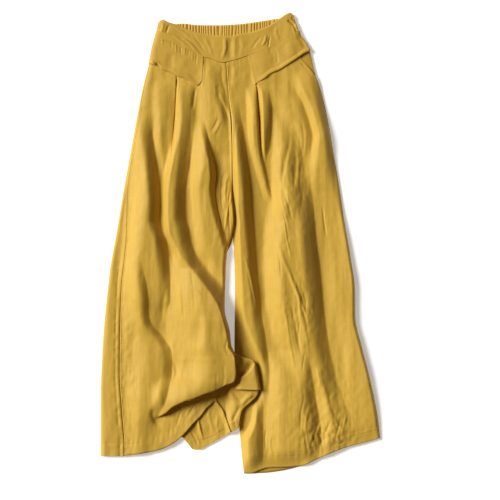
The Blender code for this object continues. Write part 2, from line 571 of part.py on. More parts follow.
def back_leg_right():
    """The right back leg: flat on the surface, around the side and over to the outseam."""
    x, y = lay_out("back_right", (even(3), even(2), (0, 0.6), even(2), even(3)))
    y = trim(x, y, top="back_band_seam", gap=SEAM_GAP)
    climb_x = ease((x - CLIMB["x"]) / CLIMB["along_x"])
    climb_y = ease((CLIMB["y"] - y) / CLIMB["along_y"])
    z = BACK_MIDDLE + (CLIMB["height"] - BACK_MIDDLE) * climb_x * climb_y
    side_y = y[:, :1]
    side_x = edge_x("right_outline", side_y)
    x[:, :1] = side_x + TURN
    turn = np.radians(CORNER_ANGLES) + np.zeros_like(side_y)
    turn_x = side_x + TURN * (1 - np.cos(turn))
    turn_z = BACK_MIDDLE + TURN * (1 - np.sin(turn))
    over = np.array(OVER_SHARES)[None]
    seam_x = edge_x("right_outseam", side_y) - OUTSEAM_GAP / 2
    over_x = side_x + (seam_x - side_x) * over
    over_y = side_y + np.zeros_like(over_x)
    over_z = right_front(over_x, over_y)
    x = np.concatenate([over_x, turn_x, x], axis=1)
    y = np.concatenate([over_y, side_y + np.zeros_like(turn_x), y], axis=1)
    z = np.concatenate([over_z, turn_z, z], axis=1)
    return thicken(sheet("back_leg_right", x, y, z), CLOTH)


def back_leg_left():
    """The left back leg, flat on the surface under the front."""
    x, y = lay_out("back_left", (even(3), even(3), even(3)))
    y = trim(x, y, top="back_band_seam", bottom="left_back_hem", gap=SEAM_GAP)
    z = np.full_like(x, BACK_MIDDLE)
    return thicken(sheet("back_leg_left", x, y, z), CLOTH)


def front_waistband():
    """The smooth, curved front waistband."""
    x, y = lay_out("front_waistband", (even(5), even(12), even(6), even(6), even(6)))
    y[0] = across_y("band_top", x[0])
    y[-1] = across_y("waist_seam", x[-1])
    middle = y[:1] + (y[-1:] - y[:1]) * np.linspace(0, 1, len(y))[:, None]
    x, y, z = moved_out(whole_front, x, middle, BAND_RISE)
    return thicken(sheet("front_waistband", x, y, z), BAND_CLOTH)


def back_waistband():
    """The elastic back waistband: gathered on top, flat where it lies on the surface."""
    x, y = lay_out("back_waistband", (even(2 * GATHERS), even(2 * GATHERS)))
    y[0] = across_y("back_band_top", x[0])
    y[-1] = across_y("back_band_seam", x[-1])
    share = np.linspace(0, 1, len(y))[:, None]
    y = y[:1] + (y[-1:] - y[:1]) * share
    wave = np.cos(np.linspace(0, 2 * math.pi * GATHERS, x.shape[1]))[None]
    from_end = np.minimum(x - x[:, :1], x[:, -1:] - x)
    body = ELASTIC_END + (ELASTIC_BAND - ELASTIC_END) * ease(from_end / END_TAPER)
    depth = GATHER_EDGE + (1 - GATHER_EDGE) * np.sin(math.pi * share)
    ribs = GATHER_DEPTH * wave * ease(from_end / END_TAPER) * depth
    piece = sheet("back_waistband", x, y, body + ribs)
    mesh = bmesh.new()
    mesh.from_mesh(piece.data)
    lifted = bmesh.ops.extrude_face_region(mesh, geom=mesh.faces[:])
    mesh.verts.ensure_lookup_table()
    base = [item for item in lifted["geom"] if isinstance(item, bmesh.types.BMVert)]
    for vertex in base:
        vertex.co.z = 0.0
    bmesh.ops.recalc_face_normals(mesh, faces=mesh.faces[:])
    mesh.to_mesh(piece.data)
    mesh.free()
    return piece


def hip_flap(name, hem, spans):
    """A flap that hangs from the waist seam over the front, free along its slanted hem."""
    x, y = lay_out(name, spans)
    y[0] = across_y("waist_seam", x[0]) - WAIST_GAP
    y[-1] = across_y(hem, x[-1])
    y = y[:1] + (y[-1:] - y[:1]) * np.linspace(0, 1, len(y))[:, None]
    x, y, z = moved_out(whole_front, x, y, CLOTH + FLAP_GAP)
    return thicken(sheet(name, x, y, z), CLOTH)


def pocket_side():
    """The side piece that shows inside the slant pocket, under the front leg."""
    x, y = lay_out("left_pocket_side", (even(5),))
    x, y, z = moved_out(left_front, x, y, -CLOTH - SEAM_GAP)
    return thicken(sheet("left_pocket_side", x, y, z), CLOTH)


def main():
    """Clear the scene and build the garment."""
    for old in list(bpy.data.objects):
        bpy.data.objects.remove(old, do_unlink=True)
    collection = bpy.data.collections.new(GARMENT)
    bpy.context.scene.collection.children.link(collection)
    pieces = (
        (front_leg_right(), MUSTARD),
        (front_leg_left(), MUSTARD),
        (back_leg_right(), MUSTARD_INSIDE),
        (back_leg_left(), MUSTARD_INSIDE),
        (front_waistband(), MUSTARD_BAND),
        (back_waistband(), MUSTARD_BAND),
        (hip_flap("right_hip_flap", "right_flap_hem", (opening(10), even(7))), MUSTARD_BAND),
        (hip_flap("left_hip_flap", "left_flap_hem", (even(8), closing(8))), MUSTARD_BAND),
        (pocket_side(), MUSTARD_INSIDE),
    )
    for piece, colour in pieces:
        finish(piece, linen(piece.name, colour), collection)


main()
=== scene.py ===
"""Dress the linen palazzo pants that lie flat on a pale surface.

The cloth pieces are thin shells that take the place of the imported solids, with the smaller
creases, wrinkles, hems, seams and stitches that the solids leave out. Tables and sizes are in
millimetres: x across the garment, y along it toward the waist, heights above the surface. Left
and right are the wearer's, so the wearer's right leg lies on the -X side.
"""

import logging
import math
from dataclasses import dataclass
from enum import Enum
from typing import Callable, Sequence

import bpy
import numpy as np
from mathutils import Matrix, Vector


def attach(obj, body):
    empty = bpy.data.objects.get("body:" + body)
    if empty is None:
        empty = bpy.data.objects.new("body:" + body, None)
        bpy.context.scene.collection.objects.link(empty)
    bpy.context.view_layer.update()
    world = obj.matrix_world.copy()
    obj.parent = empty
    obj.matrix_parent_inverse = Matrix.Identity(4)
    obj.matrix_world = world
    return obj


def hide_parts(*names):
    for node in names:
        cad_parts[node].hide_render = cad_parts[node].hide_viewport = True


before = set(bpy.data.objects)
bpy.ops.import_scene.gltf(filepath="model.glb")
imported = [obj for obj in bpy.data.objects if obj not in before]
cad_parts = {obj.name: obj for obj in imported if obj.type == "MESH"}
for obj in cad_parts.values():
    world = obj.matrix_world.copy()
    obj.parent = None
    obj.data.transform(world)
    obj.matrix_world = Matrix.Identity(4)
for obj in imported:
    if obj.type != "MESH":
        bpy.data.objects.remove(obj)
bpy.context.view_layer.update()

LOG = logging.getLogger("palazzo_pants")
MM = 0.001
BODY = "root"

Grid = np.ndarray
Table = Sequence[Sequence[float]]
Fold = tuple[str, float, float, Table]
Wrinkle = tuple[str, float, float, float, Table]
Surface = Callable[[Grid, Grid], Grid]
Piece = bpy.types.Object
Finish = bpy.types.Material
Tree = bpy.types.NodeTree
Socket = bpy.types.NodeSocket

CLOTH = 1.1  # wall of one layer of linen as it shows
FLAP_CLOTH = 1.4  # the flaps, faced with a second layer
BAND_CLOTH = 2.0  # the double front waistband
BACK_MIDDLE = 0.65  # middle of a back panel's wall, flat on the surface
EDGE_MIDDLE = 2.6  # middle of the front cloth's wall at its outer edge
LOFT = 8.0  # how high the front cloth lies where it has no fold
TURN = 2.0  # radius of the back cloth's turn around the right side
SEAM_GAP = 0.3
WAIST_GAP = 0.15
SEAT_REACH = 0.3  # how far each back leg reaches toward the other to close their seam

HALF_LENGTH = 500.0  # half the garment's length, rounded
CROTCH = 135.0  # y of the crotch point
HEM_DEPTH = 26.0  # width of the turned and stitched hems
TRIM_REACH = 60.0  # how far from a cut edge the mesh rows move to meet it

RIM_RIGHT = 13.0  # how far in from the edge the cloth takes to round over
RIM_HIP = 20.0
RIM_LEG = 7.0
RIM_INNER = 9.0
HIP_LOW = 160.0  # y where the left rim starts to narrow
HIP_TO_LEG = 110.0  # length over which it does
PARTING = 12.0  # how far over the crotch point the inner edges start to round over
PARTING_LENGTH = 40.0
SLIT_MIDDLE = 90.0  # y of the narrow slit under the crotch, where they round over the least
SLIT_REACH = 38.0
SLIT_PINCH = 6.0

ROLL_EASE = 0.35  # how soft the foot of a rolled fold is
HOLLOW_EASE = 0.3  # how soft the foot of a hollow side is
WRINKLE_END = 0.3  # share of a wrinkle's length over which each end fades
WAVE_FACTOR = 20.0  # radians that a Wave texture turns in one unit at a scale of 1

# Rows of stitches along the hems of the front: name, hem, first x, last x, points, height over
# the hem's edge.
HEM_STITCHES = (
    ("right_hem_stitches", "right_hem", -250, -52, 400, HEM_DEPTH),
    ("left_hem_stitches", "left_hem", 11, 300, 500, HEM_DEPTH),
    ("left_hem_second_row", "left_hem", 240, 300, 120, HEM_DEPTH - 3),
)

# Outlines of the garment as it lies. Each row: y, x.
EDGES = {
    "right_outline": (
        (491, -170.7), (486, -180), (468, -183.5), (447, -190.3), (422, -196), (397, -200.2),
        (370, -207), (338, -215.2), (282, -226.2), (181, -244.6), (113, -257), (58, -266),
        (7, -274.8), (-41, -283.8), (-122, -293.7), (-187, -299.9), (-267, -304.7), (-332, -306.9),
        (-468, -307.1),),
    "right_outseam": (
        (491, -169.2), (397, -198.4), (338, -211.9), (315, -216.7), (271, -223.3), (225, -231.2),
        (181, -238.7), (113, -247.1), (58, -248.8), (7, -250.6), (-41, -255.2), (-90, -261.1),
        (-187, -264.4), (-283, -265.5), (-380, -259.6), (-444, -255), (-468, -254.8),),
    "right_inner": (
        (135, -18.9), (106, -18.9), (77, -16.7), (51, -14.7), (29, -16.7), (9, -20.9), (-8, -26.2),
        (-26, -30.4), (-52, -33.2), (-92, -33), (-145, -35), (-165, -31.5), (-187, -25.7),
        (-209, -20.9), (-239, -17.4), (-248, 2.2), (-256, 28.8), (-283, 36.7), (-303, 40.7),
        (-323, 44.7),),
    "left_inner": (
        (135, -16.7), (106, -13.4), (73, -9.5), (47, -7.9), (25, -9.9), (7, -13), (-13, -14.5),
        (-44, -11.4), (-105, -12.1), (-158, -13), (-228, -13.2), (-312, -8.8), (-398, -3.3),
        (-508, 7),),
    "left_outline": (
        (506, 109.8), (496, 118.4), (469, 128.5), (455, 130.9), (442, 141.9), (422, 152.9),
        (378, 163.9), (328, 178.9), (294, 185.7), (269, 192.3), (196, 204.8), (127, 216.3),
        (64, 225.1), (9, 235.2), (-37, 242.9), (-94, 251), (-161, 251.5), (-222, 264.7),
        (-279, 279.8), (-349, 294.8), (-429, 306.9),),
    "centre_seam": (
        (462, -34.1), (396, -31.9), (315, -25.3), (271, -19.1), (205, -18.3), (135, -17.8),),
}

# Edges that run across the garment. Each row: x, y.
ACROSS = {
    "band_top": (
        (-179.5, 485.3), (-170.7, 490.4), (-159.1, 485.1), (-144.8, 480.9), (-120.3, 470.8),
        (-93.5, 461.6), (-60.9, 456.7), (-23.1, 454.7), (-1.1, 459.1), (27.5, 465.1), (61.2, 477),
        (84.7, 492.8), (109.8, 505.8), (115.9, 499.4),),
    "waist_seam": (
        (-184.1, 465.1), (-162.8, 462.4), (-135.3, 454.3), (-112, 443.5), (-96.4, 426.6),
        (-80.7, 409.6), (-66.2, 405.9), (-53.9, 400.4), (-39.2, 396.9), (-21.3, 400.4),
        (-1.1, 405.9), (15.6, 411.8), (35.9, 418.9), (61.2, 428.8), (84.7, 442.6), (104.5, 452.5),
        (116.6, 460.9), (127.6, 466.8),),
    "right_hem": (
        (-254.8, -467.3), (-213.8, -461.6), (-176.7, -453.9), (-142.8, -436.9), (-125.8, -421.3),
        (-107.1, -399.7), (-89.1, -381.3), (-75.9, -363.7), (-55.9, -345), (-38.5, -321.2),
        (-1.1, -320.8), (44.7, -322.1),),
    "left_hem": (
        (7.3, -506.2), (25.3, -505.6), (44.2, -498.5), (62.3, -493.7), (97.9, -492.4),
        (134.2, -489.5), (168.3, -474.5), (195.6, -462.7), (225.5, -450.6), (286.4, -434.1),
        (306.9, -427.7),),
    "right_flap_hem": (
        (-200, 394.2), (-183.7, 389.8), (-176, 383.2), (-152.9, 374.4), (-140.4, 367.8),
        (-117.7, 359), (-102.3, 349.1), (-93.9, 345.2), (-83.8, 356.8),),
    "left_flap_hem": (
        (31.9, 348.7), (53.9, 361.2), (64.9, 370.5), (89.5, 382.1), (108.9, 394.9), (131.8, 410.7),
        (141.5, 417.6), (152.9, 422.4),),
    "back_band_top": (
        (-165, 477.8), (-142.8, 482.2), (-125.8, 482.9), (-97.9, 479.8), (-50.2, 479.2),
        (-23.1, 480.3), (-1.1, 481.8), (27.5, 485.3), (61.2, 490.4), (84.7, 493.7), (95.7, 494.3),),
    "back_band_seam": (
        (-165, 436), (-122.1, 431.6), (-67.1, 428.1), (-1.1, 430.3), (60.5, 439.1), (95.7, 450.3),),
    "left_back_hem": (
        (7.3, -506.4), (44.2, -505.6), (84.5, -501.2), (134.9, -488.8), (196.9, -456.1),
        (229.9, -444), (284.9, -429.7), (305.6, -423.3),),
}

# Folds of the front cloth. Each has a name, the width over which it rises from its left foot,
# the width over which it falls to its right foot, and rows: y, x of the left foot, x of the
# right foot, height.
FOLDS = (
    ("side ridge", 55, 29, (
        (293, -248, -184, 0), (267, -250, -190, 5), (242, -252, -193, 11), (212, -254, -189, 17),
        (172, -254, -183, 21), (124, -254, -177, 24), (88, -256, -175, 24), (51, -261, -177, 23),
        (29, -263, -170, 23), (7, -265, -162, 23), (-37, -270, -157, 22), (-81, -274, -154, 18),
        (-125, -270, -154, 12), (-151, -267, -162, 7), (-173, -265, -164, 5),
        (-204, -261, -164, 0))),
    ("pleat approach", 22, 33, (
        (359, -199, -144, 0), (333, -199, -144, 4), (275, -197, -145, 6), (223, -193, -151, 6),
        (179, -186, -157, 5), (139, -182, -160, 0))),
    ("pleat ridge", 9, 24, (
        (355, -145, -107, 0), (328, -146, -107, 3), (297, -147, -109, 4), (249, -151, -111, 5),
        (205, -155, -116, 5), (165, -162, -120, 3), (139, -166, -124, 0))),
    ("middle ridge", 20, 31, (
        (350, -151, -98, 0), (324, -148, -98, 4), (282, -146, -99, 7), (238, -151, -103, 9),
        (205, -160, -107, 11), (170, -168, -112, 15), (132, -175, -118, 20), (95, -177, -121, 22),
        (62, -177, -120, 22), (29, -175, -113, 22), (0, -164, -107, 20), (-26, -151, -97, 15),
        (-55, -142, -82, 0))),
    ("inner ridge", 35, 15, (
        (271, -111, -80, 0), (238, -111, -72, 10), (205, -111, -64, 16), (172, -113, -56, 19),
        (143, -118, -54, 18), (117, -120, -56, 15), (84, -120, -52, 13), (51, -116, -44, 12),
        (18, -111, -34, 11), (-15, -105, -25, 9), (-41, -87, -21, 6.5), (-81, -67, -19, 4.5),
        (-116, -50, -19, 2.5), (-143, -36, -19, 0))),
    ("hem ridge", 62, 22, (
        (-15, -265, -226, 0), (-41, -267, -218, 3), (-70, -267, -210, 7), (-99, -267, -204, 10),
        (-132, -267, -201, 11), (-156, -267, -201, 11), (-176, -267, -196, 10),
        (-195, -265, -180, 9), (-215, -265, -164, 10), (-235, -263, -152, 12),
        (-261, -261, -150, 13), (-290, -261, -151, 13), (-312, -261, -156, 13),
        (-334, -261, -165, 14), (-349, -258, -174, 13), (-369, -256, -182, 10),
        (-387, -254, -184, 6), (-402, -252, -184, 2), (-420, -252, -184, 0))),
    ("outer hem ridge", 35, 24, (
        (-270, -261, -208, 0), (-301, -261, -206, 1.5), (-334, -261, -204, 2.6),
        (-389, -261, -201, 3), (-444, -261, -201, 2.4), (-477, -261, -201, 2))),
    ("centre ridge", 31, 26, (
        (403, -98, -41, 0), (370, -98, -41, 6), (326, -98, -32, 8), (282, -98, -19, 8),
        (249, -98, -14, 7), (216, -94, -10, 4), (192, -89, -10, 0))),
    ("inner left ridge", 18, 22, (
        (319, -32, -3, 0), (282, -30, 0, 6), (249, -28, 6, 11), (205, -25, 13, 16),
        (161, -23, 18, 19), (117, -21, 23, 20), (73, -21, 26, 20), (29, -19, 30, 20),
        (-15, -16, 33, 19), (-59, -14, 36, 18), (-103, -12, 41, 17), (-136, -10, 44, 15),
        (-165, -6, 47, 11), (-195, -1, 52, 5), (-222, 6, 54, 0))),
    ("left pleat strip", 15, 9, (
        (344, 7, 36, 0), (326, 9, 37, 5), (297, 12, 39, 9), (260, 14, 42, 11), (227, 16, 44, 10),
        (205, 19, 46, 8), (179, 25, 52, 7), (143, 36, 60, 6), (113, 45, 67, 4), (82, 56, 78, 0))),
    ("left pleat ridge", 9, 20, (
        (344, 38, 62, 0), (322, 40, 65, 6), (293, 41, 70, 10), (253, 42, 69, 11),
        (216, 44, 65, 10), (187, 47, 58, 6), (165, 50, 56, 0))),
    ("left hip ridge", 26, 37, (
        (293, 67, 113, 0), (260, 67, 118, 6), (216, 67, 131, 10), (172, 65, 138, 12),
        (128, 65, 138, 11), (84, 65, 133, 7), (51, 69, 127, 0))),
    ("pocket ridge", 35, 20, (
        (350, 47, 105, 0), (337, 56, 117, 2), (319, 65, 131, 3), (300, 72, 142, 5),
        (271, 87, 152, 6.5), (249, 98, 158, 7.5), (234, 105, 161, 7), (209, 111, 157, 4),
        (187, 118, 151, 0))),
    ("left side ridge", 20, 24, (
        (377, 109, 170, 0), (359, 113, 175, 4), (337, 120, 179, 7), (315, 131, 184, 9),
        (293, 140, 190, 11), (267, 148, 197, 12), (234, 155, 206, 13), (205, 153, 208, 11),
        (172, 151, 208, 7), (143, 151, 208, 3), (113, 151, 208, 0))),
    ("main left ridge", 48, 40, (
        (157, 69, 151, 0), (121, 65, 155, 10), (88, 58, 160, 17), (51, 52, 163, 21),
        (7, 47, 167, 23), (-37, 45, 173, 24), (-92, 47, 179, 24), (-136, 52, 183, 22),
        (-180, 61, 188, 19), (-224, 74, 194, 16), (-257, 87, 200, 12), (-297, 109, 208, 7),
        (-336, 131, 219, 0))),
    ("outer leg slope", 97, 15, (
        (161, 179, 223, 0), (106, 179, 230, 4), (40, 179, 241, 7), (-37, 179, 256, 8),
        (-125, 179, 265, 9), (-213, 184, 278, 9), (-301, 206, 298, 8), (-367, 219, 311, 6),
        (-407, 228, 320, 3), (-433, 228, 324, 0))),
    ("lower side ridge", 29, 44, (
        (-222, 151, 195, 0), (-257, 155, 204, 4), (-297, 157, 212, 8), (-334, 162, 223, 9),
        (-367, 166, 234, 8), (-400, 170, 243, 8), (-426, 173, 243, 8), (-455, 168, 239, 6),
        (-481, 164, 232, 4))),
    ("left hem ridge", 48, 33, (
        (-235, 47, 144, 0), (-261, 47, 151, 6), (-288, 50, 157, 12), (-319, 50, 162, 15),
        (-349, 50, 166, 16), (-380, 50, 173, 15), (-411, 50, 177, 13), (-444, 52, 175, 10),
        (-477, 52, 168, 7), (-512, 52, 162, 5))),
    ("inner hem ridge", 18, 29, (
        (-319, -6, 47, 0), (-341, -1, 48, 5), (-363, 1, 50, 9), (-400, 1, 50, 12),
        (-433, 1, 50, 13), (-473, 3, 50, 11), (-512, 6, 48, 7))),
    ("band side step", 3.3, 3.3, (
        (491, 108.9, 144.1, 0), (478, 111.1, 139.7, 0.8), (460, 115.5, 137.5, 0.8),
        (447, 119.9, 139.7, 0))),
)

# Folds of the right front alone, in the same form: the edge of the knee mound, and the turned-up
# corner under it. The knee mound itself has a sharp crest and a hollow side.
MOUND_LIP = ("mound lip", 99, 15, (
    (-138, -186, 6, 0), (-156, -186, 6, 0.8), (-173, -182, 4, 3.2), (-191, -179, 3, 8),
    (-217, -173, -1, 20), (-239, -168, -11, 27.5), (-253, -166, -12, 29),
    (-266, -164, -11, 28), (-279, -166, -9, 25.5), (-293, -173, -8, 22), (-300, -182, -25, 22),
    (-309, -190, -44, 21), (-320, -199, -72, 19), (-330, -204, -98, 17),
    (-338, -208, -120, 15), (-349, -208, -142, 13), (-365, -206, -157, 10),
    (-376, -204, -167, 7), (-387, -204, -177, 0)))
RIGHT_FOLDS = (
    MOUND_LIP,
    ("mound brow", 99, 57, (
        (-248, -168, 12, 0), (-270, -166, 6, 2.5), (-293, -173, -8, 7), (-300, -182, -25, 8),
        (-309, -190, -43, 8), (-320, -199, -69, 8), (-330, -204, -96, 8), (-338, -208, -118, 8),
        (-349, -208, -140, 7), (-365, -206, -155, 6), (-376, -204, -165, 4),
        (-387, -204, -177, 0))),
    ("mound end", 26, 15, (
        (-301, -197, -25, 0), (-319, -199, -65, 5), (-341, -199, -116, 9), (-356, -197, -142, 10),
        (-369, -195, -162, 8), (-382, -193, -177, 0))),
    ("turned tail", 20, 11, (
        (-226, -32, 8, 0), (-248, -30, 34, 7), (-261, -28, 52, 11), (-288, -14, 65, 14),
        (-327, -23, 69, 14))),
)
KNEE_MOUND = (
    ("knee mound", 114, 37, (
        (16, -199, -129, 0), (-2, -199, -120, 2.5), (-19, -199, -105, 10), (-41, -199, -84, 21),
        (-63, -199, -64, 29), (-85, -199, -46, 33), (-105, -197, -31, 36), (-132, -193, -14, 37),
        (-165, -188, -1, 34), (-191, -182, 8, 26), (-217, -173, 12, 14), (-239, -168, 14, 5),
        (-253, -166, 14, 1.8), (-266, -164, 14, 0.4), (-283, -164, 14, 0))),
)

# Folds of the left front alone.
LEFT_FOLDS = (
    ("inner ridge below", 18, 22, (
        (-138, -10, 45, 0), (-165, -6, 47, 2), (-195, 6, 53, 8), (-226, 16, 57, 12),
        (-257, 23, 62, 11), (-290, 30, 64, 8), (-323, 34, 64, 4), (-349, 34, 64, 0))),
)

# Wrinkles of the front cloth, as lines drawn downward. Each has a name, its width on the -X side
# and on the +X side, its height, less than 0 for a dip, and the points (x, y) of its line.
WRINKLES = (
    ("knee brown patch", 6.6, 6.6, -1.6, ((-151, -253), (-142, -270), (-140, -288), (-151, -310))),
    ("centre hollow", 8.8, 8.8, -1.4, ((-52, 350), (-47, 333), (-50, 315))),
    ("centre small a", 4.4, 4.4, -1.2, ((-47, 278), (-56, 258), (-67, 242))),
    ("centre small b", 4.4, 3.5, 1, ((-41, 271), (-52, 249), (-61, 236))),
    ("mound line a", 2.6, 2.2, 0.9, ((-133, -94), (-130, -129), (-129, -165))),
    ("mound line b", 4.4, 3.1, 0.9, ((-111, -90), (-96, -105), (-80, -118))),
    ("slant line c", 3.5, 2.6, 1.3, ((87, 86), (96, 47), (102, 7), (113, -41))),
    ("slant line d", 3.1, 3.1, -1.1, ((78, -6), (87, -41), (89, -81))),
    ("slant line e", 3.5, 3.1, 1.2, ((122, -94), (129, -129), (131, -165), (140, -191))),
    ("slant line f", 3.1, 3.5, -1.2, ((131, -165), (127, -200), (129, -235))),
    ("slant line g", 3.5, 3.5, 1, ((100, -191), (109, -231), (118, -266))),
    ("slant line h", 3.1, 3.1, -1.2, ((142, -235), (138, -261), (135, -283))),
    ("hem pucker a", 3.5, 4, 1.3, ((151, -415), (160, -437), (166, -459))),
    ("hem pucker b", 4, 3.5, -2, ((170, -411), (177, -433), (184, -455))),
    ("hem pucker c", 3.5, 3.5, 1.1, ((184, -411), (197, -429), (219, -437))),
    ("hem pucker d", 3.1, 3.5, -1.6, ((197, -437), (215, -442), (232, -433))),
    ("hem pucker e", 4, 4, -1.8, ((138, -398), (142, -429), (148, -464))),
    ("hem pucker f", 3.1, 3.1, 1.4, ((206, -385), (215, -402), (228, -411))),
    ("inner hem line a", 3.1, 3.1, -1.1, ((58, -402), (54, -429), (56, -459))),
    ("inner hem line b", 3.1, 3.1, 1, ((67, -415), (65, -446), (72, -477))),
    ("flap seam beside", 0.4, 6.6, 1.1,
     ((-81, 434), (-81, 409), (-82, 385), (-84, 350), (-84, 326))),
    ("flap corner", 6.6, 4.4, -1.8, ((-98, 344), (-102, 319), (-105, 289))),
    ("centre diagonal", 13.2, 6.6, -2.6, ((-54, 337), (-43, 311), (-30, 284), (-20, 249))),
    ("inner crease tail", 3.5, 3.5, -2.2,
     ((-57, 126), (-54, 91), (-47, 60), (-38, 11), (-28, -19))),
    ("crotch wrinkle a", 4.4, 3.5, -1.5,
     ((-28, 165), (-40, 141), (-42, 108), (-41, 84), (-32, 62))),
    ("crotch wrinkle b", 3.5, 3.5, 2, ((-19, 113), (-25, 86), (-31, 55), (-34, 20))),
    ("crotch wrinkle c", 3.1, 3.5, -2, ((-20, 130), (-24, 104), (-26, 69), (-24, 38), (-23, 11))),
    ("crotch wrinkle d", 4, 4, 1.3, ((-23, 157), (-32, 135), (-34, 108), (-32, 82))),
    ("centre wrinkle", 4.4, 4.4, -1, ((-10, 275), (-12, 227), (-14, 165))),
    ("smooth panel line", 6.6, 5.3, -1.3, ((-109, 205), (-110, 139), (-107, 84), (-102, 25))),
    ("panel crease", 4.4, 4.4, -0.7, ((-111, -41), (-102, -107), (-98, -165))),
    ("side line a", 6.6, 4.4, -0.8, ((-234, 117), (-241, 29), (-237, -41))),
    ("lower side crease", 8.8, 7.9, -1.5, ((-164, -94), (-170, -129), (-173, -182))),
    ("mound hollow", 19.8, 19.8, -1.6, ((-87, -143), (-94, -191), (-96, -235))),
    ("mound edge wrinkle", 4.4, 3.3, -1, ((-25, -200), (-32, -226), (-36, -248))),
    ("lip wrinkle a", 2.6, 2.6, -1.1, ((-50, -264), (-45, -286), (-43, -308))),
    ("lip wrinkle b", 2.6, 2.6, -0.8, ((-63, -275), (-58, -297), (-56, -316))),
    ("mound face line", 11, 8.8, 0.9, ((-120, -224), (-129, -283), (-142, -336))),
    ("under lip a", 4.4, 3.3, -1.1, ((-87, -338), (-105, -363), (-120, -389))),
    ("under lip b", 4.4, 3.3, -0.9, ((-120, -354), (-133, -376), (-142, -407))),
    ("under lip c", 3.3, 3.3, 1, ((-65, -325), (-82, -345), (-96, -363))),
    ("end hook", 7.5, 6.6, -1.8, ((-193, -354), (-195, -376), (-186, -393), (-168, -407))),
    ("hollow of the turned hem", 15.4, 5.5, -9, ((31, -257), (21, -272), (8, -286), (-12, -297))),
    ("left leg fine line", 4.4, 3.3, 0.9, ((3, -8), (21, -70), (34, -127), (43, -165))),
    ("left leg fine line b", 4.4, 3.3, -0.8, ((12, -41), (23, -99), (32, -151))),
    ("slanting crease", 7.7, 5.3, 1.7,
     ((79, 22), (85, -8), (96, -39), (109, -70), (120, -96), (129, -118), (131, -145),
      (140, -180), (146, -215), (154, -255))),
    ("second slant", 4.4, 3.3, 1.2,
     ((102, -41), (113, -83), (131, -125), (148, -165), (155, -200))),
    ("slant valley", 5.5, 5.5, -1.4, ((109, -116), (118, -169), (127, -217), (138, -261))),
    ("slant wrinkle", 4.4, 4.4, 1, ((94, -125), (107, -209), (122, -292))),
    ("slant wrinkle b", 3.5, 3.5, -1, ((135, -99), (144, -125), (142, -156))),
    ("lower diagonal", 11, 7.9, 2.2,
     ((170, -261), (177, -301), (187, -336), (197, -371), (208, -411))),
    ("hem crest", 3.5, 3.1, 1.5, ((166, -270), (172, -292), (177, -319))),
    ("hem wrinkle a", 4, 4, -1.5, ((175, -389), (162, -420), (151, -459))),
    ("hem wrinkle b", 4, 4, -1.5, ((199, -385), (186, -420), (188, -451))),
    ("hem wrinkle c", 4.4, 3.5, -1.6, ((221, -376), (215, -407), (206, -437))),
    ("hem wrinkle d", 4.4, 3.5, 1.3, ((234, -371), (228, -398), (221, -424))),
    ("hem wrinkle e", 3.5, 3.5, 1.2, ((151, -354), (142, -398), (138, -442))),
    ("hem wrinkle f", 4, 3.5, -1.3, ((142, -327), (133, -371), (131, -424))),
    ("side crease", 4.4, 3.1, -1.4, ((180, 86), (184, 47), (190, 7))),
    ("hip wrinkle a", 8.8, 6.6, -1.5, ((107, 240), (105, 209), (98, 179), (91, 143), (89, 113))),
    ("hip wrinkle b", 8.8, 6.6, -1.4, ((118, 214), (122, 179), (120, 143), (113, 108))),
    ("hip wrinkle c", 5.5, 5.5, -1.1, ((133, 275), (138, 249), (140, 223), (135, 187))),
    ("hip wrinkle f", 6.6, 6.6, -1.2, ((135, 187), (131, 152), (131, 117), (138, 86))),
    ("hip wrinkle d", 5.7, 4.4, -1.2, ((91, 126), (100, 99), (109, 69), (116, 38))),
    ("hip wrinkle e", 4.4, 4.4, 0.9, ((82, 126), (91, 91), (100, 55), (109, 20))),
    ("beside the turned tail", 15.4, 19.8, -3.4,
     ((36, -226), (54, -257), (61, -288), (61, -319), (52, -354))),
    ("under the mound", 15.4, 13.2, -3.2, ((-8, -143), (-1, -178), (8, -206), (21, -233))),
    ("under the right flap", 3.3, 4, -2.6,
     ((-190, 388), (-177, 379), (-153, 370), (-140, 363), (-118, 355), (-102, 345), (-91, 339))),
    ("band dip", 11, 11, -1.6, ((-21, 399), (-23, 372), (-25, 341))),
)

# Wrinkles of the end of the right back leg that shows wrong side up, in the same form.
INSIDE_WRINKLES = (
    ("upper crease", 6.6, 3.3, -3, ((-23, -319), (-6, -338), (6, -352))),
    ("small fold", 6.6, 2.9, 3.2, ((-97, -371), (-91, -398), (-81, -437))),
    ("soft hollow", 17.6, 11, -2.6, ((-41, -325), (-25, -349), (-14, -380))),
    ("hem tab a", 2.2, 2.2, -1.6, ((-16, -380), (-12, -398), (-7, -411))),
    ("long crease", 7.7, 4.4, -2.4, ((1, -354), (-9, -376), (-21, -398))),
    ("corner fold", 8.8, 6.6, 2.4, ((34, -326), (14, -341), (-1, -358))),
    ("tab ripple a", 4.4, 3.1, 1.4, ((-72, -363), (-67, -389), (-58, -420))),
    ("tab ripple b", 3.5, 3.5, -1.4, ((-111, -411), (-98, -433), (-91, -448))),
    ("tab ripple c", 3.5, 3.5, 1.3, ((-50, -371), (-52, -398), (-47, -424))),
)

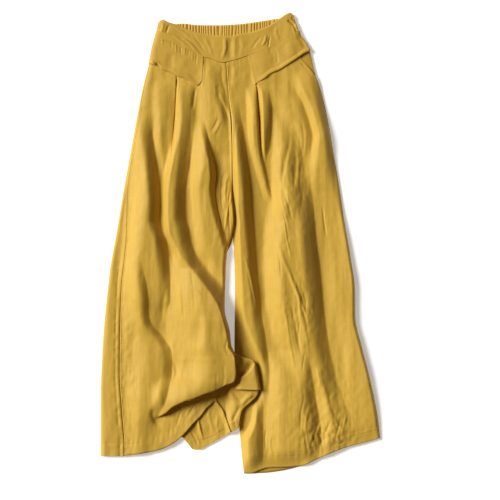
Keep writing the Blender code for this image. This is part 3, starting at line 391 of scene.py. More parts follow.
# Wrinkles and puckers of the flaps and of the front waistband, in the same form.
FLAP_WRINKLES = (
    ("gathered seam", 2.2, 2.2, -1.5,
     ((-184, 446), (-177, 445), (-160, 442), (-135, 433), (-120, 426), (-102, 419), (-81, 409))),
    ("pucker a", 2.6, 3.3, 0.8, ((-173, 451), (-170, 434))),
    ("pucker b", 2.6, 3.3, -0.7, ((-153, 445), (-151, 425))),
    ("pucker c", 2.6, 3.3, 0.8, ((-142, 440), (-141, 416))),
    ("pucker d", 2.6, 3.3, -0.8, ((-131, 436), (-131, 412))),
    ("pucker e", 2.6, 3.3, 0.8, ((-122, 434), (-123, 410))),
    ("pucker f", 2.6, 3.3, -0.6, ((-113, 427), (-116, 407))),
    ("pucker g", 2.6, 3.3, 0.6, ((-105, 425), (-106, 399))),
    ("pucker h", 2.6, 3.3, -0.6, ((-96, 418), (-98, 390))),
    ("upper pucker a", 3.5, 2.6, 0.9, ((-151, 459), (-133, 445), (-113, 431))),
    ("upper pucker b", 3.5, 2.6, -0.8, ((-142, 459), (-120, 443), (-102, 425))),
    ("upper pucker c", 3.5, 2.6, 0.7, ((-131, 455), (-111, 437), (-94, 418))),
    ("flap notch fold", 6.6, 4.8, 2.2, ((-197, 403), (-188, 390), (-182, 379))),
    ("flap notch", 4.4, 3.1, -2.6, ((-186, 398), (-179, 390), (-173, 381))),
    ("flap wave", 13.2, 11, -1, ((-151, 421), (-155, 399), (-151, 377))),
    ("left flap dip", 13.2, 8.8, -1.6, ((65, 434), (76, 416), (80, 390))),
    ("left flap soft", 15.4, 13.2, 1, ((105, 443), (111, 425), (118, 407))),
    ("outer turn", 8.8, 6.6, -1.6, ((122, 458), (135, 443), (146, 425))),
)
BAND_WRINKLES = (
    ("middle dip", 13.2, 11, -2.6, ((-21, 458), (-23, 429), (-21, 399))),
    ("middle dip b", 11, 8.8, -1.4, ((-6, 460), (-3, 429), (-8, 403))),
    ("middle fold", 6.6, 4.4, 1.4, ((-34, 456), (-32, 429), (-41, 399))),
    ("left band crease", 3.5, 2, -1.8, ((66, 456), (63, 443), (61, 427))),
    ("left band crease b", 4.8, 3.5, 1.4, ((57, 460), (55, 445), (47, 432))),
    ("left band soft", 6.6, 4.4, -1, ((47, 456), (34, 440), (25, 425))),
    ("left band soft b", 6.6, 5.3, 1, ((80, 478), (78, 460), (87, 443))),
    ("corner dimple", 4.8, 5.3, -3.4, ((102, 491), (111, 484), (121, 476))),
    ("corner dimple b", 4, 3.5, -2.2, ((111, 498), (118, 489), (124, 482))),
    ("side strip", 2.6, 3.5, -1.8, ((109, 491), (116, 480), (122, 467), (125, 458))),
    ("right side dimple", 4.8, 4, -1.8, ((-156, 482), (-162, 465), (-166, 451))),
    ("right side fold", 4.4, 5.3, 1.2, ((-168, 487), (-172, 469), (-177, 456))),
    ("right band line", 5.3, 3.5, 1, ((-151, 478), (-129, 466), (-102, 445))),
    ("right band line b", 4.4, 4.4, -0.9, ((-111, 467), (-91, 440), (-76, 418))),
    ("right band line c", 5.3, 5.3, 0.9, ((-82, 456), (-69, 434), (-61, 410))),
)

# Lowest height of the front cloth's edges. Each row: y, height.
LOW_RIGHT_INNER = ((-500, 15), (-262, 15), (-251, 14), (-246, 12), (-225, 2.6), (500, 2.6))
LOW_LEFT_OUTER = ((-500, 2.2), (325, 2.2), (355, 5.0), (500, 5.0))

# Where the other leg's hem lies on the front cloth and presses it down. Each row: x, y, radius
# along x, radius along y, height.
PRESSED = (
    (4, -300, 38, 60, 4.4),
    (-2, -370, 26, 46, 4.4),
)

# Where the linen is crumpled rather than smooth. Each row: x, y, radius along x, radius along y,
# share of the full crumple.
CRUMPLED = (
    (-40, 70, 26, 80, 0.9),
    (95, 60, 60, 110, 0.3),
    (130, -150, 50, 90, 0.8),
    (185, -380, 70, 110, 1.0),
    (190, -430, 70, 46, 1.7),
    (120, 150, 46, 100, 0.5),
    (60, -380, 50, 110, 0.4),
    (-90, -380, 60, 60, 0.7),
    (-250, -300, 26, 200, 0.6),
    (-120, 420, 60, 30, 0.5),
    (-20, 400, 30, 60, 0.5),
)


def straight(y: float, *places: float) -> tuple:
    """Points (x, y) of a section that runs straight across."""
    return tuple((x, y) for x in places)


# Sections of each piece, from the waist down: the points (x, y) that each passes through, from
# -X to +X.
SECTIONS = {
    "front_right": (
        ((-179.5, 462.4), (-123.2, 448.1), (-80.7, 409.6), (-45.1, 398), (-32.3, 396.4)),
        ((-203.1, 376.6), (-137.5, 367.8), (-84.7, 359), (-42.9, 348), (-27.5, 341.4)),
        ((-218.5, 304), (-143.2, 304), (-86.9, 299.6), (-36.3, 295.2), (-22.9, 293)),
        ((-234.5, 205), (-152.2, 205), (-91.3, 202.8), (-31.9, 200.6), (-18.9, 200.6)),
        ((-244.6, 134.6), (-161.7, 134.6), (-93.5, 132.4), (-30.8, 132.4), (-18.9, 130.2)),
        ((-249.3, 46.6), (-170.5, 46.6), (-95.7, 44.4), (-26.2, 42.2), (-15.2, 42.2)),
        ((-254.1, -26), (-176, -26), (-102.3, -28.2), (-41.1, -28.2), (-30.6, -28.2)),
        straight(-144.8, -263.1, -181.5, -108.9, -47.3, -35),
        straight(-191, -264.4, -183.3, -109.8, -38.5, -24.4),
        straight(-235, -265.1, -183.7, -111.1, -30.8, -17.8),
        ((-265.5, -272.4), (-184.8, -268), (-115.5, -259.2), (-24.2, -251.5), (5.5, -249.5)),
        ((-265.1, -309.8), (-185.9, -303.2), (-118.8, -287.8), (-19.8, -266.9), (31, -259.2)),
        ((-261.8, -358.2), (-187, -361.5), (-124.3, -327.4), (-16.5, -284.5), (37.6, -287.8)),
        ((-259.4, -389), (-182.6, -386.8), (-117.7, -353.8), (-31.9, -303.2), (40.7, -303.2)),
        ((-254.8, -467.3), (-194.7, -458.3), (-125.8, -421.3), (-38.5, -321.2), (44.7, -322.1)),
    ),
    "front_left": (
        ((-31.5, 396.4), (29.7, 415.1), (78.1, 437.1), (100.1, 450.3)),
        ((-28.8, 363.4), (31, 370), (89.1, 389.8), (131.8, 407.7)),
        ((-24.6, 315), (34.1, 321.6), (97.9, 337), (167.4, 361.2)),
        ((-18.9, 260), (36.3, 266.6), (108.9, 273.2), (192.3, 268.8)),
        ((-17.8, 200.6), (40.3, 205), (113.3, 205), (203.3, 205)),
        straight(132.4, -16.7, 49.5, 122.1, 215.4),
        straight(46.6, -7.9, 60.5, 130.9, 228.4),
        ((-14.1, -15), (56.1, -17.2), (133.1, -21.6), (240.5, -23.8)),
        ((-11.7, -105.2), (56.1, -109.6), (141.9, -111.8), (251.5, -109.6)),
        ((-12.5, -160.2), (57.2, -162.4), (148.5, -162.4), (252.1, -162.4)),
        ((-13.2, -228.4), (60.5, -228.4), (157.3, -226.2), (266, -226.2)),
        ((-8.8, -312), (60.5, -312), (166.1, -305.4), (286.2, -305.4)),
        ((-2.9, -400), (56.1, -400), (170.5, -389), (301.2, -380.2)),
        ((7.3, -506), (56.1, -494.6), (170.5, -473.7), (306.9, -427.7)),
    ),
    "back_right": (
        ((-191.4, 433.8), (-144.1, 431.6), (-111.1, 430.3), (-82.5, 428.8), (-56.1, 428.1),
         (-18, 428.8)),
        straight(326, -215.8, -155.1, -115.5, -84.7, -58.3, -18),
        straight(205, -239.8, -166.1, -122.1, -89.1, -60.5, -18),
        straight(57.6, -266, -177.1, -128.7, -91.3, -62.7, -18),
        straight(9.2, -274.3, -181.5, -130.9, -95.7, -67.1, -18),
        straight(-32.6, -282.3, -188.1, -133.1, -100.1, -71.5, -33.2),
        straight(-147, -296.1, -199.1, -137.5, -104.5, -75.9, -37),
        straight(-235, -302.9, -205.7, -137.5, -104.5, -75.9, -21.8),
        ((-304.3, -261.4), (-205.7, -261.4), (-137.5, -257), (-104.5, -254.8), (-75.9, -253.7),
         (-17.6, -251.5)),
        ((-305.8, -309.8), (-207.9, -307.6), (-135.3, -296.6), (-104.5, -292.2), (-75.9, -285.6),
         (14.3, -268)),
        ((-306.9, -356), (-210.1, -356), (-133.1, -349.4), (-104.5, -349.4), (-78.1, -345),
         (39.8, -325.2)),
        ((-306.9, -411), (-212.3, -408.8), (-130.9, -389), (-104.5, -400), (-82.5, -397.8),
         (3.3, -369.2)),
        ((-307.1, -467.7), (-214.5, -458.3), (-127.4, -426.1), (-105.8, -453.4), (-87.3, -453.4),
         (-3.7, -405.7)),
    ),
    "back_left": (
        ((-17.4, 429.4), (47.3, 436.5), (86.9, 447), (125.4, 456.9)),
        straight(359, -17.4, 53.9, 108.9, 166.5),
        straight(205, -17.4, 53.9, 126.5, 201.1),
        straight(57.6, -17.4, 60.5, 141.9, 224),
        straight(11.4, -17.4, 60.5, 148.5, 232.5),
        straight(-28.2, -11.7, 60.5, 152.9, 239.6),
        straight(-107.4, -11.4, 62.7, 155.1, 249.7),
        straight(-162.4, -12.5, 66, 159.5, 250.4),
        straight(-228.4, -12.1, 69.3, 163.9, 264.2),
        straight(-345, -5.9, 69.3, 170.5, 292.2),
        ((7.3, -506.4), (84.5, -501.2), (196.9, -456.1), (305.6, -423.3)),
    ),
    "front_waistband": (
        ((-179.5, 485.3), (-120.3, 470.8), (-60.9, 456.7), (-1.1, 459.1), (61.2, 477),
         (115.9, 499.4)),
        ((-184.1, 465.1), (-130.9, 453.6), (-66.2, 405.9), (-1.1, 405.9), (69.3, 433.8),
         (127.6, 466.8)),
    ),
    "back_waistband": (
        ((-165, 477.8), (-34.1, 480), (95.7, 494.3)),
        ((-165, 436), (-34.1, 429), (95.7, 450.3)),
    ),
    "right_hip_flap": (
        ((-183.7, 464.9), (-133.1, 453.6), (-81.6, 410.3)),
        ((-193.6, 431.6), (-135.3, 409.6), (-82.5, 381)),
        ((-200, 394.2), (-137.5, 366.7), (-83.8, 356.8)),
    ),
    "left_hip_flap": (
        ((16.5, 411.8), (73.7, 436), (127.6, 466.8)),
        ((24.9, 378.8), (82.5, 408.5), (141.9, 442.4)),
        ((31.9, 348.7), (93.5, 384.3), (152.9, 422.4)),
    ),
    "left_pocket_side": (
        ((95.7, 433.8), (140.8, 438.2)),
        ((102.3, 416.2), (153.8, 419.5)),
        ((108.9, 396.4), (157.3, 403)),
        ((130.9, 350.2), (168.7, 356.8)),
    ),
}

# Seam allowance that stands up from the end that shows wrong side up. Each row: x, y.
ALLOWANCE = ((-62, -340), (-52, -356), (-43, -368), (-38, -382), (-34, -393), (-25, -417))

# Line of the stitches of the hem on that end. Each row: x, y.
END_HEM = ((-111, -418), (-98, -431), (-82, -430), (-62, -423), (-40, -409), (-12, -392))


class Held(Enum):
    """How a sheet of cloth is held."""

    LAID = "laid"
    GATHERED = "gathered"


def smooth(table: Table, position: Grid, value: int = 1) -> Grid:
    """Read a table's column by its first one, with a curve that never overshoots its rows.

    Args:
        table: Rows of numbers.
        position: Where to read, in the units of the first column.
        value: Which column to read.

    Returns:
        The value at each position.
    """
    rows = sorted(table)
    at = np.array([row[0] for row in rows], float)
    read = np.array([row[value] for row in rows], float)
    step = np.diff(at)
    slope = np.diff(read) / step
    tangent = np.zeros(len(at))
    tangent[0] = slope[0]
    tangent[-1] = slope[-1]
    for i in range(1, len(at) - 1):
        before = slope[i - 1]
        after = slope[i]
        if before * after > 0:
            near = 2 * step[i] + step[i - 1]
            far = step[i] + 2 * step[i - 1]
            tangent[i] = (near + far) / (near / before + far / after)
    position = np.clip(np.asarray(position, float), at[0], at[-1])
    i = np.clip(np.searchsorted(at, position, side="right") - 1, 0, len(step) - 1)
    t = (position - at[i]) / step[i]
    start = (1 + 2 * t) * (1 - t) ** 2 * read[i] + t * (1 - t) ** 2 * step[i] * tangent[i]
    end = t * t * (3 - 2 * t) * read[i + 1] + t * t * (t - 1) * step[i] * tangent[i + 1]
    return start + end


def ease(t: Grid) -> Grid:
    """Go from 0 to 1 with a soft start and a soft end."""
    t = np.clip(t, 0.0, 1.0)
    return t * t * (3 - 2 * t)


def rounded(t: Grid) -> Grid:
    """Height of a rounded edge, from 0 at the edge to 1 where the cloth lies level."""
    t = np.clip(t, 0.0, 1.0)
    return np.sqrt(1 - (1 - t) ** 2)


def bell(distance: Grid, width: float) -> Grid:
    """A soft bump, 1 in its middle and about a third at its width."""
    return np.exp(-(distance / width) ** 2)


def from_spot(spot: Sequence[float], x: Grid, y: Grid) -> Grid:
    """Distance from the middle of an oval spot, 1 on its rim."""
    return np.hypot((x - spot[0]) / spot[2], (y - spot[1]) / spot[3])


@dataclass(frozen=True)
class Ripple:
    """One pattern of soft, uneven waves between -1 and 1, the same on every run."""

    across: float  # typical size of a wave across the cloth, in mm
    along: float  # and along it
    seed: int  # number that picks the pattern
    knots: int = 128  # size of the square of random heights, which repeats
    shift: tuple[float, float] = (1000.37, 1000.71)  # keeps the places positive and off the knots

    def at(self, x: Grid, y: Grid) -> Grid:
        """Height of the waves.

        Args:
            x, y: Place across and along the cloth, in mm.

        Returns:
            The height at each place.
        """
        lattice = np.random.default_rng(self.seed).uniform(-1, 1, (self.knots, self.knots))
        u = x / self.across + self.shift[0]
        v = y / self.along + self.shift[1]
        i = np.floor(u).astype(int)
        j = np.floor(v).astype(int)
        s = ease(u - i)
        t = ease(v - j)
        low = j % self.knots
        high = (j + 1) % self.knots
        left = lattice[i % self.knots, low] * (1 - t) + lattice[i % self.knots, high] * t
        i = i + 1
        right = lattice[i % self.knots, low] * (1 - t) + lattice[i % self.knots, high] * t
        return left * (1 - s) + right * s


def edge_x(name: str, y: Grid) -> Grid:
    """Where an outline crosses the height y of the layout."""
    return smooth(EDGES[name], y)


def across_y(name: str, x: Grid) -> Grid:
    """Where an edge that runs across the garment crosses x."""
    return smooth(ACROSS[name], x)


def left_rim(y: Grid) -> Grid:
    """Width over which the left side rounds over, wide at the hip and narrow down the leg."""
    return RIM_HIP - (RIM_HIP - RIM_LEG) * ease((HIP_LOW - y) / HIP_TO_LEG)


def inner_share(from_edge: Grid, y: Grid) -> Grid:
    """Share of its height that the cloth keeps beside an inner edge, where the legs part.

    Args:
        from_edge: Distance from the edge, in mm.
        y: Place along, in mm.

    Returns:
        The share, from 0 at the edge to 1 where the cloth lies level.
    """
    parted = ease((CROTCH + PARTING - y) / PARTING_LENGTH)
    rim = RIM_INNER - SLIT_PINCH * bell(y - SLIT_MIDDLE, SLIT_REACH)
    return 1 - parted * (1 - rounded(from_edge / rim))


def roll(t: Grid) -> Grid:
    """Go from 0 to 1, steep at the foot and softly rounded at the crest."""
    t = np.clip(t, 0.0, 1.0)
    return ROLL_EASE * ease(t) + (1 - ROLL_EASE) * t * (2 - t)


def hollow(t: Grid) -> Grid:
    """Go from 0 to 1, gentle at the foot and steep up to a sharp crest."""
    t = np.clip(t, 0.0, 1.0)
    return HOLLOW_EASE * ease(t) + (1 - HOLLOW_EASE) * t * t


def run_of(line: Grid) -> Grid:
    """Length of a line of points up to each of them."""
    return np.concatenate([[0.0], np.cumsum(np.linalg.norm(np.diff(line, axis=0), axis=1))])


def wrinkles(table: Sequence[Wrinkle], x: Grid, y: Grid) -> Grid:
    """Sum of a table's wrinkles, each along a line of points.

    Args:
        table: Wrinkles with a name, two widths, a height and points.
        x, y: Place across and along, in mm.

    Returns:
        Their height, in mm.
    """
    height = np.zeros_like(x)
    for _, left, right, crest, points in table:
        reach = max(left, right)
        line = np.array(points, float)
        low = line.min(axis=0) - reach
        high = line.max(axis=0) + reach
        near = (x > low[0]) & (x < high[0]) & (y > low[1]) & (y < high[1])
        if not near.any():
            continue
        spot = np.stack([x[near], y[near]], axis=1)
        nearest = np.full(len(spot), np.inf)
        share = np.zeros(len(spot))
        side = np.zeros(len(spot))
        run = run_of(line)
        for i, length in enumerate(np.diff(run)):
            along = (line[i + 1] - line[i]) / length
            away = spot - line[i]
            t = np.clip(away @ along, 0, length)
            off = away - t[:, None] * along
            distance = np.linalg.norm(off, axis=1)
            closer = distance < nearest
            nearest = np.where(closer, distance, nearest)
            share = np.where(closer, (run[i] + t) / run[-1], share)
            side = np.where(closer, off @ np.array([along[1], -along[0]]), side)
        width = np.where(side > 0, left, right)
        ends = ease(share / WRINKLE_END) * ease((1 - share) / WRINKLE_END)
        height[near] += crest * ease(1 - nearest / width) * ends
    return height


def ridges(table: Sequence[Fold], x: Grid, y: Grid, side: Callable[[Grid], Grid] = roll) -> Grid:
    """Sum of a table's folds.

    Args:
        table: Folds with a name, a rise, a fall and rows.
        x, y: Place across and along, in mm.
        side: Profile of the side that falls.

    Returns:
        Their height, in mm.
    """
    height = np.zeros_like(x)
    for _, rise, fall, rows in table:
        left = smooth(rows, y, 1)
        right = smooth(rows, y, 2)
        crest = smooth(rows, y, 3)
        inside = (y <= rows[0][0]) & (y >= rows[-1][0])
        height += inside * crest * ease((x - left) / rise) * side((right - x) / fall)
    return height


@dataclass(frozen=True)
class Pleat:
    """A pleat that is tucked in above the knee: a groove, and a lip that leans over it."""

    depth: float  # of the groove
    lean: float  # how far the lip leans over it
    rows: Table  # y, x of the groove, share of the full depth
    lip: float = 1.2  # how far the lip stands back from the groove
    lip_width: float = 2.4
    drop: float = 1.8  # width of the groove's steep side
    reach: float = 6.5  # how far past its line the groove ends
    climb: float = 5.5  # width of its gentle side

    def past(self, x: Grid, y: Grid) -> Grid:
        """How far each place lies past the pleat's line."""
        return x - smooth(self.rows, y, 1)

    def groove(self, x: Grid, y: Grid) -> Grid:
        """Depth of the groove.

        Args:
            x, y: Place across and along, in mm.

        Returns:
            The depth, in mm.
        """
        past = self.past(x, y)
        across = ease((past + self.lip) / self.drop) * ease((self.reach - past) / self.climb)
        return self.depth * smooth(self.rows, y, 2) * across

    def tuck(self, x: Grid, y: Grid) -> Grid:
        """Lean the lip over the groove: the new x of each place."""
        share = smooth(self.rows, y, 2)
        return x + self.lean * share * bell(self.past(x, y) + self.lip, self.lip_width)


PLEATS = (
    Pleat(4.2, 1.6, ((370, -142, 0), (358, -142, 0.7), (338, -143, 1), (290, -145.5, 1),
                     (225, -150.5, 0.9), (185, -154, 0.6), (150, -160, 0))),
    Pleat(4.6, 1.8, ((352, 33, 0), (338, 34.5, 1), (300, 35.5, 1), (260, 38, 1), (215, 41, 0.7),
                     (180, 46, 0))),
)


@dataclass(frozen=True)
class Unevenness:
    """Uneven waves of the linen, long along the leg, with crumpled places."""

    drift: float = 1.9  # height of the broad, soft waves
    wave: float = 0.8  # height of the narrower ones
    strand: float = 0.24  # height of the thin wrinkles along the leg
    wander: float = 3.0  # how far those swerve
    crumple: float = 0.26  # height of the small wrinkles
    least: float = 0.35  # share of the crumple that the smoothest cloth has
    crossing: float = 1.6  # height of the crossing wrinkles beside the fine ones
    pebble: float = 0.6  # height of the finest grain beside the fine wrinkles
    reach: float = 1.4  # how far a crumpled spot reaches, in its own radii
    flare: float = 0.16  # how much closer the waves lie at the waist than at the hem
    flare_middle: float = 10.0  # x that they spread out from
    slant: tuple[float, float] = (0.8, 0.6)  # cosine and sine of the crossing wrinkles' slant
    broad_waves: Ripple = Ripple(34, 150, 3)
    narrow_waves: Ripple = Ripple(15, 70, 5)
    rising: Ripple = Ripple(7, 19, 7)
    falling: Ripple = Ripple(8, 22, 9)
    fine: Ripple = Ripple(4.2, 26, 11)
    pebbles: Ripple = Ripple(3.4, 6.0, 13)
    swerves: Ripple = Ripple(40, 90, 19)
    strands: Ripple = Ripple(8, 65, 17)

    def at(self, x: Grid, y: Grid) -> Grid:
        """Height of all the waves.

        Args:
            x, y: Place across and along, in mm.

        Returns:
            The height, in mm.
        """
        spread = self.flare * (x - self.flare_middle) * (y + HALF_LENGTH) / (2 * HALF_LENGTH)
        lean = x + spread
        soft = self.drift * self.broad_waves.at(lean, y)
        soft += self.wave * self.narrow_waves.at(lean, y)
        crumpled = np.full_like(x, self.least)
        for spot in CRUMPLED:
            crumpled += spot[-1] * ease(self.reach - from_spot(spot, x, y))
        cosine, sine = self.slant
        turned = cosine * x + sine * y
        other = cosine * x - sine * y
        small = self.rising.at(turned, cosine * y - sine * x)
        small += self.falling.at(other, cosine * y + sine * x)
        fine = self.fine.at(lean, y) + self.pebble * self.pebbles.at(turned, other)
        along = self.strand * self.strands.at(lean + self.wander * self.swerves.at(x, y), y)
        return soft + along + self.crumple * crumpled * (self.crossing * small + fine)


@dataclass(frozen=True)
class SewnRelief:
    """What sewing does to the front cloth: steps, grooves and puckers of a fraction of a mm."""

    hem_step: float = 0.7  # how far a turned hem stands over the single cloth
    hem_edge: float = 2.4  # width of that step
    stitch_dip: float = 0.5  # depth of the line that the hem's stitches pull in
    stitch_width: float = 1.6
    pucker: float = 0.5  # height of the puckers above the stitches
    pucker_width: float = 9.0
    hem_puckers: Ripple = Ripple(5.5, 300, 21)
    legs_apart: float = -60.0  # highest y where the left leg's edge tells the hems apart
    centre_groove: float = 0.9
    centre_width: float = 1.8
    centre_lip: float = 0.5  # ridge of the seam allowance on the left of the centre seam
    centre_lip_at: float = 5.0
    centre_lip_width: float = 4.0
    centre_fade: float = 12.0  # length over which the centre seam sets in at the crotch
    outseam_groove: float = 0.8
    outseam_width: float = 1.5
    fell: float = 0.8  # ridge of the felled band beside the outseam
    fell_at: float = 4.5
    fell_width: float = 3.0
    fell_groove: float = 0.9  # groove on the band's far side
    fell_pull: float = 1.3  # how unevenly it is pulled
    fell_groove_at: float = 9.5
    fell_groove_width: float = 2.6
    fell_puckers: Ripple = Ripple(400, 7, 31)
    fell_from: float = 60.0  # y where the felled band starts to show
    fell_fade: float = 160.0  # length over which it sets in
    side_pucker: float = 0.5  # puckers on both sides of the outseam
    side_pucker_at: float = 4.0
    side_pucker_width: float = 4.0
    side_puckers: Ripple = Ripple(400, 11, 33)

    def hems(self, x: Grid, y: Grid) -> Grid:
        """Relief of the turned hems: a low step, and puckers above the stitches.

        Args:
            x, y: Place across and along, in mm.

        Returns:
            The height, in mm.
        """
        on_right = x < edge_x("left_inner", np.minimum(y, self.legs_apart))
        hem = np.where(on_right, across_y("right_hem", x), across_y("left_hem", x))
        over = y - hem - HEM_DEPTH
        inside = ease((self.hem_edge / 2 - over) / self.hem_edge)
        pucker = self.pucker * self.hem_puckers.at(x, y) * bell(over, self.pucker_width)
        return self.hem_step * inside - self.stitch_dip * bell(over, self.stitch_width) + pucker

    def seams(self, x: Grid, y: Grid) -> Grid:
        """Grooves along the centre seam and the right outseam, with their puckers.

        Args:
            x, y: Place across and along, in mm.

        Returns:
            The height, in mm.
        """
        centre = x - edge_x("centre_seam", y)
        above = ease((y - CROTCH + self.centre_fade / 2) / self.centre_fade)
        relief = self.centre_lip * bell(centre - self.centre_lip_at, self.centre_lip_width)
        relief = above * (relief - self.centre_groove * bell(centre, self.centre_width))
        outer = x - edge_x("right_outseam", y)
        relief -= self.outseam_groove * bell(outer, self.outseam_width)
        below = ease((self.fell_from - y) / self.fell_fade)
        depth = self.fell_groove + self.fell_pull * self.fell_puckers.at(x, y)
        relief += below * self.fell * bell(outer + self.fell_at, self.fell_width)
        relief -= below * depth * bell(outer + self.fell_groove_at, self.fell_groove_width)
        beside = bell(np.abs(outer) - self.side_pucker_at, self.side_pucker_width)
        return relief + self.side_pucker * beside * self.side_puckers.at(x, y)


@dataclass(frozen=True)
class Lie:
    """How the front cloth lies: the height of its wall's middle over the surface."""

    uneven: Unevenness = Unevenness()
    sewn: SewnRelief = SewnRelief()
    side_calm: float = 10.0  # width along the right side where the relief fades out
    press_fade: float = 0.5  # how soon the cloth is free again past a pressed spot
    settled: float = 3.4  # height that the left hem settles to
    settle_from: float = 40.0  # how far over the left hem the cloth starts to settle
    inner_settle: float = 0.96  # share that it settles by at the inner part of the hem
    outer_settle: float = 0.4  # and at the outer part
    settle_change: tuple[float, float] = (130.0, 30.0)  # x where that changes, and its width
    below_right: float = 0.4  # how far under its edge the right half may dip
    below_left: float = 0.5
    calm_drift: float = 1.14  # height of the soft waves that the bands and flaps follow
    calm_waves: Ripple = Ripple(30, 60, 3)

    def level(self, x: Grid, y: Grid) -> Grid:
        """Height of the cloth with its folds and pleats, before its edges round over.

        Args:
            x, y: Place across and along, in mm.

        Returns:
            The height, in mm.
        """
        height = LOFT + ridges(FOLDS, x, y) + wrinkles(WRINKLES, x, y)
        for pleat in PLEATS:
            height = height - pleat.groove(x, y)
        return height

    def relief(self, x: Grid, y: Grid) -> Grid:
        """Height of all that is smaller than the folds."""
        return self.uneven.at(x, y) + self.sewn.hems(x, y) + self.sewn.seams(x, y)

    def pressed(self, x: Grid, y: Grid, height: Grid) -> Grid:
        """Hold the cloth down where the other leg lies on it.

        Args:
            x, y: Place across and along, in mm.
            height: Height of the free cloth.

        Returns:
            The height, in mm.
        """
        for spot in PRESSED:
            free = ease((from_spot(spot, x, y) - 1.0) / self.press_fade)
            height = np.minimum(height, spot[-1] + free * np.maximum(height - spot[-1], 0))
        return height

    def right(self, x: Grid, y: Grid) -> Grid:
        """Height of the wall's middle over the right half of the front.

        Args:
            x, y: Place across and along, in mm.

        Returns:
            The height, in mm.
        """
        height = self.level(x, y) + ridges(RIGHT_FOLDS, x, y) + ridges(KNEE_MOUND, x, y, hollow)
        from_side = x - edge_x("right_outline", y)
        height = height + self.relief(x, y) * ease(from_side / self.side_calm)
        middle = EDGE_MIDDLE + (height - EDGE_MIDDLE) * rounded(from_side / RIM_RIGHT)
        low = smooth(LOW_RIGHT_INNER, y)
        inner = inner_share(edge_x("right_inner", y) - x, y)
        return np.maximum(low + (middle - low) * inner, EDGE_MIDDLE - self.below_right)

    def left(self, x: Grid, y: Grid) -> Grid:
        """Height of the wall's middle over the left half of the front.

        Args:
            x, y: Place across and along, in mm.

        Returns:
            The height, in mm.
        """
        height = self.level(x, y) + ridges(LEFT_FOLDS, x, y) + self.relief(x, y)
        height = self.pressed(x, y, height)
        start, width = self.settle_change
        change = (self.inner_settle - self.outer_settle) * ease((x - start) / width)
        above = (y - across_y("left_hem", x)) / self.settle_from
        settle = (1 - ease(above)) * (self.inner_settle - change)
        height = height - settle * np.maximum(height - self.settled, 0)
        low = smooth(LOW_LEFT_OUTER, y)
        middle = low + (height - low) * rounded((edge_x("left_outline", y) - x) / left_rim(y))
        inner = inner_share(x - edge_x("left_inner", y), y)
        middle = EDGE_MIDDLE + (middle - EDGE_MIDDLE) * inner
        return np.maximum(middle, EDGE_MIDDLE - self.below_left)

    def calm(self, x: Grid, y: Grid) -> Grid:
        """Height of the front as the bands and flaps lie on it, with softer wrinkles.

        Args:
            x, y: Place across and along, in mm.

        Returns:
            The height, in mm.
        """
        height = LOFT + ridges(FOLDS, x, y) + self.calm_drift * self.calm_waves.at(x, y)
        from_side = x - edge_x("right_outline", y)
        height = EDGE_MIDDLE + (height - EDGE_MIDDLE) * rounded(from_side / RIM_RIGHT)
        low = smooth(LOW_LEFT_OUTER, y)
        return low + (height - low) * rounded((edge_x("left_outline", y) - x) / left_rim(y))


def lay_out(piece: str, columns: int, rows: int, crowding: float = 1.0) -> tuple[Grid, Grid]:
    """Spread a piece's mesh points evenly between its sections.

    Args:
        piece: Name of the piece in SECTIONS.
        columns: Number of mesh faces across.
        rows: Number of mesh faces along.
        crowding: How strongly the rows crowd toward the hem, 1 for not at all.

    Returns:
        The x and y of the points, first row toward the waist.
    """
    points = np.array(SECTIONS[piece], float)
    steps = np.linalg.norm(np.diff(points, axis=0), axis=2).mean(axis=1)
    stations = np.concatenate(([0.0], np.cumsum(steps)))
    spans = np.linalg.norm(np.diff(points, axis=1), axis=2).mean(axis=0)
    marks = np.concatenate(([0.0], np.cumsum(spans)))
    places = stations[-1] * (1 - np.linspace(1, 0, rows + 1) ** crowding)
    across = np.linspace(0, marks[-1], columns + 1)
    spread = []
    for axis in range(2):
        lines = points[:, :, axis].T
        anchors = np.array([smooth(tuple(zip(stations, line)), places) for line in lines])
        spread.append(np.array([np.interp(across, marks, row) for row in anchors.T]))
    return spread[0], spread[1]


def trim(x: Grid, y: Grid, top: str = "", bottom: str = "", gap: float = 0.0) -> Grid:
    """Bring a piece's first and last rows onto the edges that they are cut to.

    Args:
        x, y: Place across and along, in mm.
        top: Edge for the first row, or nothing.
        bottom: Edge for the last row, or nothing.
        gap: Space left at the top edge.

    Returns:
        The new y of each point.
    """
    if top:
        move = across_y(top, x[0]) - gap - y[0]
        y = y + move * ease(1 - (y[0] - y) / TRIM_REACH)
    if bottom:
        move = across_y(bottom, x[-1]) - y[-1]
        y = y + move * ease(1 - (y - y[-1]) / TRIM_REACH)
    return y


def between(x: Grid, top: str, bottom: str, gap: float = 0.0) -> tuple[Grid, Grid]:
    """Spread a strip's rows evenly between the two edges that it is cut to.

    Args:
        x: Place of each point across the garment.
        top: Edge for the first row.
        bottom: Edge for the last row.
        gap: Space left at the top edge.

    Returns:
        The y of each point, and each row's share of the way down.
    """
    share = np.linspace(0, 1, len(x))[:, None]
    first = across_y(top, x[0]) - gap
    last = across_y(bottom, x[-1])
    return first + (last - first) * share, share


def moved_out(surface: Surface, x: Grid, y: Grid,
              distance: float | Grid) -> tuple[Grid, Grid, Grid]:
    """Points of a surface moved out along its normals.

    Args:
        surface: Height of the surface at a place.
        x, y: Place across and along, in mm.
        distance: How far to move, in mm.

    Returns:
        The new x, y and z.
    """
    step = 0.6
    slope_x = (surface(x + step, y) - surface(x - step, y)) / (2 * step)
    slope_y = (surface(x, y + step) - surface(x, y - step)) / (2 * step)
    share = distance / np.sqrt(slope_x ** 2 + slope_y ** 2 + 1)
    return x - slope_x * share, y - slope_y * share, surface(x, y) + share


